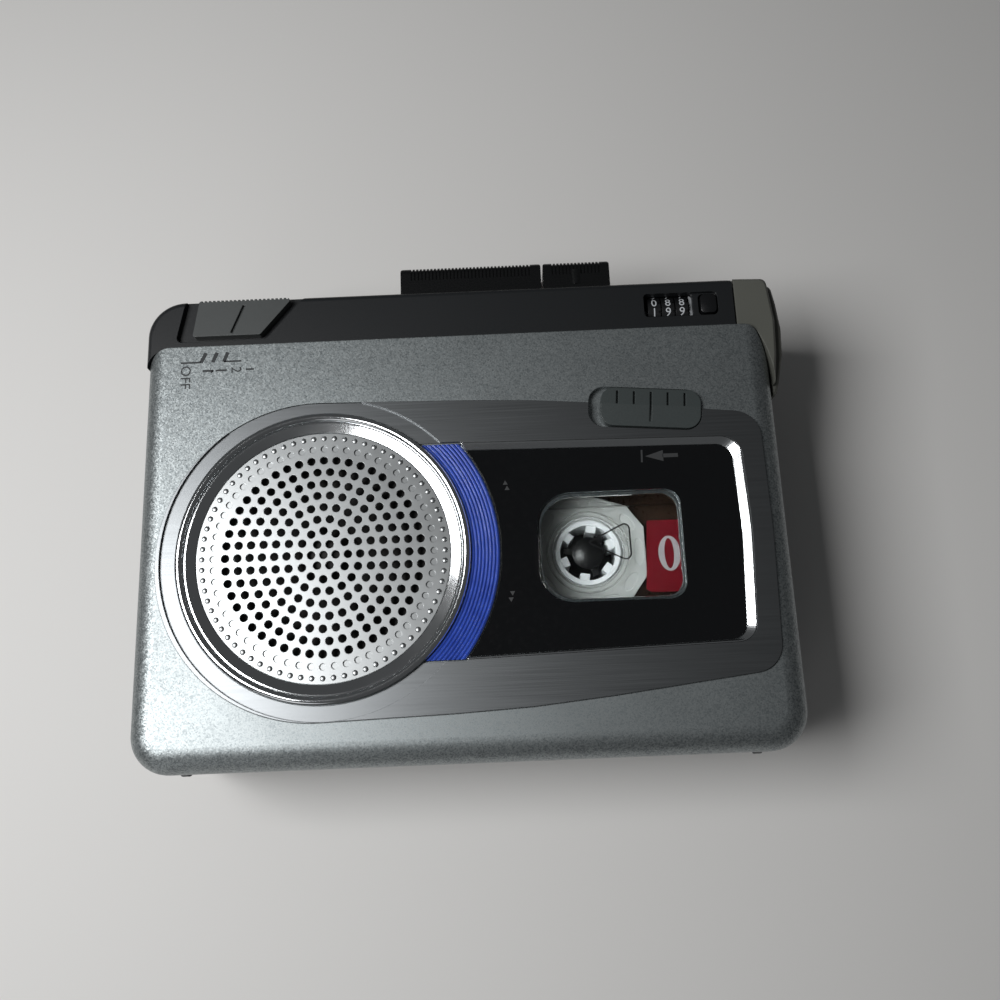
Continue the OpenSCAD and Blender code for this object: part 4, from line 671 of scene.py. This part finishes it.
def written(text, centre):
    """Words printed on the lid with their tops to +X: the glyph's right goes to -Y and its top to
    +X."""
    points, faces = glyph(text, WORD_SIZE)
    top = np.full(len(points), LID_TOP + INK_RISE)
    spot = np.column_stack([centre[0] + points[:, 1], centre[1] - points[:, 0], top])
    return thick(spot, faces, 1.5 * INK_RISE)


marks = [
    stroke((-48.1, 30.7), (-47.2, 32.6), TICK_W),
    stroke((-45.9, 30.7), (-45.1, 32.6), TICK_W),
    stroke((-43.8, 30.7), (-43.1, 32.6), TICK_W),
    stroke((-51.9, 30.75), (-48.1, 30.75), LINE_W),
    stroke((-43.8, 30.75), (-40.5, 30.75), LINE_W),
    stroke((-45.3, 29.0), (-43.2, 29.0), LINE_W),
    stroke((-39.6, 29.0), (-38.1, 29.0), LINE_W),
    written("OFF", (-51.0, 27.85)),
    # The figure 1, with its top to +X
    stroke((-47.75, 29.0), (-45.75, 29.0), 0.42),
    stroke((-46.15, 28.62), (-45.75, 29.0), 0.3),
    written("2", (-41.5, 29.0)),
]
lid_marks = mesh_piece("lid_switch_marks", *merged(marks), lid_ink, smooth=False)
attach(lid_marks, "lid")


# ---- Bezel and bright frame ----
# The keyhole bezel is a satin steel-grey plated moulding. The frame round
# the panel is bright chrome with a wide bevel.

def satin_plate():
    """Satin plating: the base is brushed lightly, so streaks 0.15 mm wide and 20 mm long dull it
    along X."""
    material, tree = blank_finish("satin_steel_plate")
    place = add(tree, "ShaderNodeTexCoord").outputs["Object"]
    drawn = add(tree, "ShaderNodeMapping", {
        "Vector": place, "Scale": (1 / (20 * MM), 1 / (0.15 * MM), 1 / (0.15 * MM)),
    })
    streak = add(tree, "ShaderNodeTexNoise", {"Vector": drawn.outputs["Vector"], "Scale": 1, "Detail": 3})
    rough = add(tree, "ShaderNodeMapRange", {
        "Value": streak.outputs["Fac"], "From Min": 0.3, "From Max": 0.7, "To Min": 0.33, "To Max": 0.39,
    })
    edges = add(tree, "ShaderNodeBevel", {"Radius": 0.12 * MM}, samples=4)
    bump = add(tree, "ShaderNodeBump", {
        "Height": streak.outputs["Fac"], "Distance": 0.0003 * MM, "Normal": edges.outputs["Normal"],
    })
    plate = add(tree, "ShaderNodeBsdfPrincipled", {
        "Base Color": linear("#808385"), "Metallic": 1.0,
        "Roughness": rough.outputs["Result"], "Normal": bump.outputs["Normal"],
    })
    add(tree, "ShaderNodeOutputMaterial", {"Surface": plate.outputs["BSDF"]})
    return material


dress(satin_plate(), "bezel")
CHROME = "#e6e9eb"
chrome_ring = plated("bright_chrome_ring", CHROME, 0.1, grain=0.6, depth=0.001, patchy=0.1, edge=0.1)
chrome_frame = plated("bright_chrome_frame", CHROME, 0.19, grain=0.6, depth=0.0004, patchy=0.04, edge=0.2)
dress(chrome_ring, "speaker_ring")
dress(chrome_frame, "panel_trim")


# ---- Front panel and window ----
# Gloss black acrylic with a clear window let in. The panel has an arrow
# with a bar, and the window a thin moulded line round its reel mark.

gloss_black = moulded("gloss_black_acrylic", "#08090b", 0.12, grain=1.2, depth=0.0008, edge=0.1, coat=0.5)
dress(gloss_black, "front_panel")
clear_acrylic = clear_plastic("clear_window_acrylic", "#f2f5f5", 0.0, 0.03, "#dcdedf", 1.3)
dress(clear_acrylic, "window_lens")

PANEL_TOP = 34.6
panel_ink = printed("grey_panel_ink", "#3c3d3e", 0.4)
PANEL_INK = (PANEL_TOP - INK_RISE / 2, PANEL_TOP + INK_RISE)
arrow = merged([
    slab([(33.8, 8.87), (37.1, 7.82), (37.1, 9.91)], *PANEL_INK),
    stroke((37.0, 8.87), (39.8, 8.87), 0.72, PANEL_TOP),
    stroke((33.15, 7.75), (33.25, 10.1), 0.32, PANEL_TOP),
])
panel_arrow = mesh_piece("panel_arrow", *arrow, panel_ink, smooth=False)
HEAD_HALF = 0.45
HEAD_LONG = 0.8
# Each small triangle's place, and the way along Y that it points
HEADS = ((8.1, 4.6, 1), (8.4, 3.6, 1), (8.6, -14.9, -1), (8.3, -16.0, -1))
heads = merged([
    slab([(x - HEAD_HALF, y), (x + HEAD_HALF, y), (x, y + HEAD_LONG * way)], *PANEL_INK)
    for x, y, way in HEADS
])
panel_triangles = mesh_piece("panel_triangles", *heads, panel_ink, smooth=False)
for piece in (panel_arrow, panel_triangles):
    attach(piece, "lid")

LENS_TOP = PANEL_TOP + 0.15


def rounded_outline(corners, steps=10):
    """Points of an outline through corners (x, y, radius): each corner gives way to an arc that
    touches both its sides, swept in equal steps."""
    corners = np.asarray(corners, float)
    points = []
    for k, (x, y, radius) in enumerate(corners):
        here = np.array([x, y])
        before, after = corners[k - 1][:2] - here, corners[(k + 1) % len(corners)][:2] - here
        before, after = before / np.linalg.norm(before), after / np.linalg.norm(after)
        half = np.arccos(np.clip(before @ after, -1, 1)) / 2
        middle = here + (before + after) / np.linalg.norm(before + after) * radius / np.sin(half)
        start = here + before * radius / np.tan(half) - middle
        end = here + after * radius / np.tan(half) - middle
        sweep = np.arctan2(start[0] * end[1] - start[1] * end[0], start @ end)
        turn = np.arctan2(start[1], start[0]) + sweep * np.linspace(0, 1, steps)
        points.append(middle + radius * np.column_stack([np.cos(turn), np.sin(turn)]))
    return np.concatenate(points)


def carried(path, profile):
    """A closed profile carried round a closed path in the plane: point (i, j) is path point i plus
    the profile's first number along the outward normal there, at the profile's second number as
    height."""
    path, profile = np.asarray(path, float), np.asarray(profile, float)
    along = np.roll(path, -1, axis=0) - np.roll(path, 1, axis=0)
    normal = np.column_stack([along[:, 1], -along[:, 0]]) / np.linalg.norm(along, axis=1)[:, None]
    spread = path[:, None, :] + normal[:, None, :] * profile[None, :, :1]
    points = np.concatenate([spread, np.broadcast_to(profile[None, :, 1:], spread.shape[:2] + (1,))], axis=-1)
    n, m = points.shape[:2]
    i, j = np.meshgrid(np.arange(n), np.arange(m), indexing="ij")
    i1, j1 = (i + 1) % n, (j + 1) % m
    faces = np.stack([i * m + j, i1 * m + j, i1 * m + j1, i * m + j1], axis=-1)
    return points.reshape(-1, 3), faces.reshape(-1, 4)


# The window's edge is moulded with a soft bead, which takes the light, and
# a fine dark triangle is printed on its face.
window_path = rounded_outline([
    (13.7, -17.15, 5.8), (39.3, -17.15, 2.8), (39.3, 2.4, 2.8), (13.7, 2.4, 5.8),
])
bead = bead_profile(0, 0.5, LENS_TOP - SUNK, 0.16)
window_bead = mesh_piece("window_edge_bead", *carried(window_path, bead), clear_acrylic)
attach(window_bead, "lid")
triangle_path = rounded_outline([(22.4, -6.75, 0.3), (30.0, -10.6, 1.0), (29.9, -3.1, 0.9)])
line_half, line_low, line_high = 0.13, LENS_TOP - INK_RISE / 2, LENS_TOP + INK_RISE
line = [(-line_half, line_low), (line_half, line_low), (line_half, line_high), (-line_half, line_high)]
window_ink = printed("black_window_ink", "#141516", 0.35)
triangle = mesh_piece("window_triangle_line", *carried(triangle_path, line), window_ink, smooth=False)
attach(triangle, "lid")


# ---- Loudspeaker ----
# A pressed steel grille, plated satin, over a paper cone in a steel basket.
# A ring of small bosses is pressed up round the grille's rim.

grille_plate = plated(
    "satin_plated_grille", "#a6a9aa", 0.36, grain=0.25, depth=0.0008, patchy=0.06, edge=0.12,
)
dress(grille_plate, "speaker_grille")
dress(plated("zinc_plated_basket", "#8a8d91", 0.4), "speaker_basket", "speaker_magnet")
dress(moulded("black_paper_cone", "#1b1a19", 0.85, grain=0.3, depth=0.03), "speaker_cone")

SPEAKER = (-24.9, -6.95)
GRILLE_TOP = 34.5
BOSSES = 72
BOSS_CIRCLE_R = 21.8
BOSS_R = 0.52
BOSS_H = 0.22


def domes(centres, radius, height, foot, rows=4, sides=12):
    """Low domes: point (k, i, j) is centre k plus radius sin(t) in direction 2 pi i / sides, at
    height cos(t), where t runs from the pole to the rim in rows steps. A flat fan closes each
    underneath."""
    centres = np.asarray(centres, float)
    t = np.linspace(0, np.pi / 2, rows + 1)[1:]
    turn = np.arange(sides) * 2 * np.pi / sides
    ring = np.stack([
        radius * np.sin(t)[:, None] * np.cos(turn), radius * np.sin(t)[:, None] * np.sin(turn),
        np.broadcast_to(height * np.cos(t)[:, None], (rows, sides)),
    ], axis=-1).reshape(-1, 3)
    one = np.concatenate([[[0, 0, height]], ring, [[0, 0, 0]]])
    i = np.arange(sides)
    j = (i + 1) % sides
    fans = [np.stack([np.zeros(sides, int), 1 + i, 1 + j], axis=-1)]
    for row in range(rows - 1):
        a, b = 1 + row * sides, 1 + (row + 1) * sides
        fans += [np.stack([a + i, b + i, b + j], axis=-1), np.stack([a + i, b + j, a + j], axis=-1)]
    last = 1 + (rows - 1) * sides
    fans.append(np.stack([last + j, last + i, np.full(sides, 1 + rows * sides)], axis=-1))
    faces = np.concatenate(fans)
    points = one[None] + np.column_stack([centres, np.full(len(centres), foot)])[:, None, :]
    steps = np.arange(len(centres)) * len(one)
    return points.reshape(-1, 3), (faces[None] + steps[:, None, None]).reshape(-1, 3)


around = np.arange(BOSSES) * 2 * np.pi / BOSSES
boss_centres = np.array(SPEAKER) + BOSS_CIRCLE_R * np.column_stack([np.cos(around), np.sin(around)])
boss_domes = domes(boss_centres, BOSS_R, BOSS_H, GRILLE_TOP - SUNK / 2)
bosses = mesh_piece("grille_rim_bosses", *boss_domes, grille_plate)
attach(bosses, "lid")


# ---- Blue arc ----
# Translucent blue styrene with fine ribs that follow the ring.

def blue_styrene():
    """Translucent blue: light scatters a little way in, and clouds 3 mm wide vary its tone."""
    material, tree = blank_finish("translucent_blue_styrene")
    place = add(tree, "ShaderNodeTexCoord").outputs["Object"]
    cloud = add(tree, "ShaderNodeTexNoise", {"Vector": place, "Scale": 1 / (3 * MM), "Detail": 3})
    tones = add(tree, "ShaderNodeMix", {
        "Factor": cloud.outputs["Fac"], "A": linear("#1f3a94"), "B": linear("#3c5cc0"),
    }, data_type="RGBA")
    edges = add(tree, "ShaderNodeBevel", {"Radius": 0.05 * MM}, samples=4)
    blue = add(tree, "ShaderNodeBsdfPrincipled", {
        "Base Color": tones.outputs["Result"], "Roughness": 0.25, "Normal": edges.outputs["Normal"],
        "Subsurface Weight": 0.3, "Subsurface Radius": (0.2, 0.4, 1.0), "Subsurface Scale": 0.6 * MM,
        "IOR": 1.59, "Coat Weight": 0.4, "Coat Roughness": 0.1,
    })
    add(tree, "ShaderNodeOutputMaterial", {"Surface": blue.outputs["BSDF"]})
    return material


dress(blue_styrene(), "blue_lens")


# ---- Pause knob ----
# Dark green-grey ABS, cut down along its lower half, with five grooves.

dress(moulded("dark_knob_abs", "#3a4040", 0.42, grain=0.25, depth=0.01, edge=0.25), "pause_knob")


# ---- Floor and light ----
# A plain pale board, a soft lamp above on the left that stands for a
# window, a weak low one before the hinge edge, and a dim even room.

FLOOR_HALF = 1.5
floor_mesh = bpy.data.meshes.new("floor")
floor_corners = [(x * FLOOR_HALF, y * FLOOR_HALF, 0) for x, y in ((-1, -1), (1, -1), (1, 1), (-1, 1))]
floor_mesh.from_pydata(floor_corners, [], [(0, 1, 2, 3)])
floor = bpy.data.objects.new("floor", floor_mesh)
bpy.context.collection.objects.link(floor)
board, board_tree = blank_finish("pale_board")
board_shader = add(board_tree, "ShaderNodeBsdfPrincipled", {
    "Base Color": linear("#dddcda"), "Roughness": 0.8, "Specular IOR Level": 0.2,
})
add(board_tree, "ShaderNodeOutputMaterial", {"Surface": board_shader.outputs["BSDF"]})
floor_mesh.materials.append(board)


def soft_lamp(name, place, aim, width, height, power):
    """A rectangular lamp at a place, turned so that it faces a point."""
    lamp = bpy.data.objects.new(name, bpy.data.lights.new(name, "AREA"))
    lamp.data.shape = "RECTANGLE"
    lamp.data.size = width
    lamp.data.size_y = height
    lamp.data.energy = power
    back = np.array(place) - np.array(aim)
    back /= np.linalg.norm(back)
    side = np.cross((0, 1, 0), back)
    side /= np.linalg.norm(side)
    up = np.cross(back, side)
    turn = np.eye(4)
    turn[:3, :4] = np.column_stack([side, up, back, place])
    lamp.matrix_world = Matrix(turn.tolist())
    bpy.context.collection.objects.link(lamp)


LID_MIDDLE = (0, 0, 0.03)
soft_lamp("window_lamp", (-0.2, -0.02, 0.33), LID_MIDDLE, 0.18, 0.2, 1.2)
soft_lamp("low_lamp", (-0.22, -0.42, 0.16), LID_MIDDLE, 0.3, 0.2, 0.12)

room = bpy.data.worlds.new("room")
room.use_nodes = True
room.node_tree.nodes.clear()
sky = add(room.node_tree, "ShaderNodeBackground", {"Color": linear("#c8cacc"), "Strength": 0.1})
add(room.node_tree, "ShaderNodeOutputWorld", {"Surface": sky.outputs["Background"]})
bpy.context.scene.world = room
bpy.context.scene.view_settings.view_transform = "Standard"
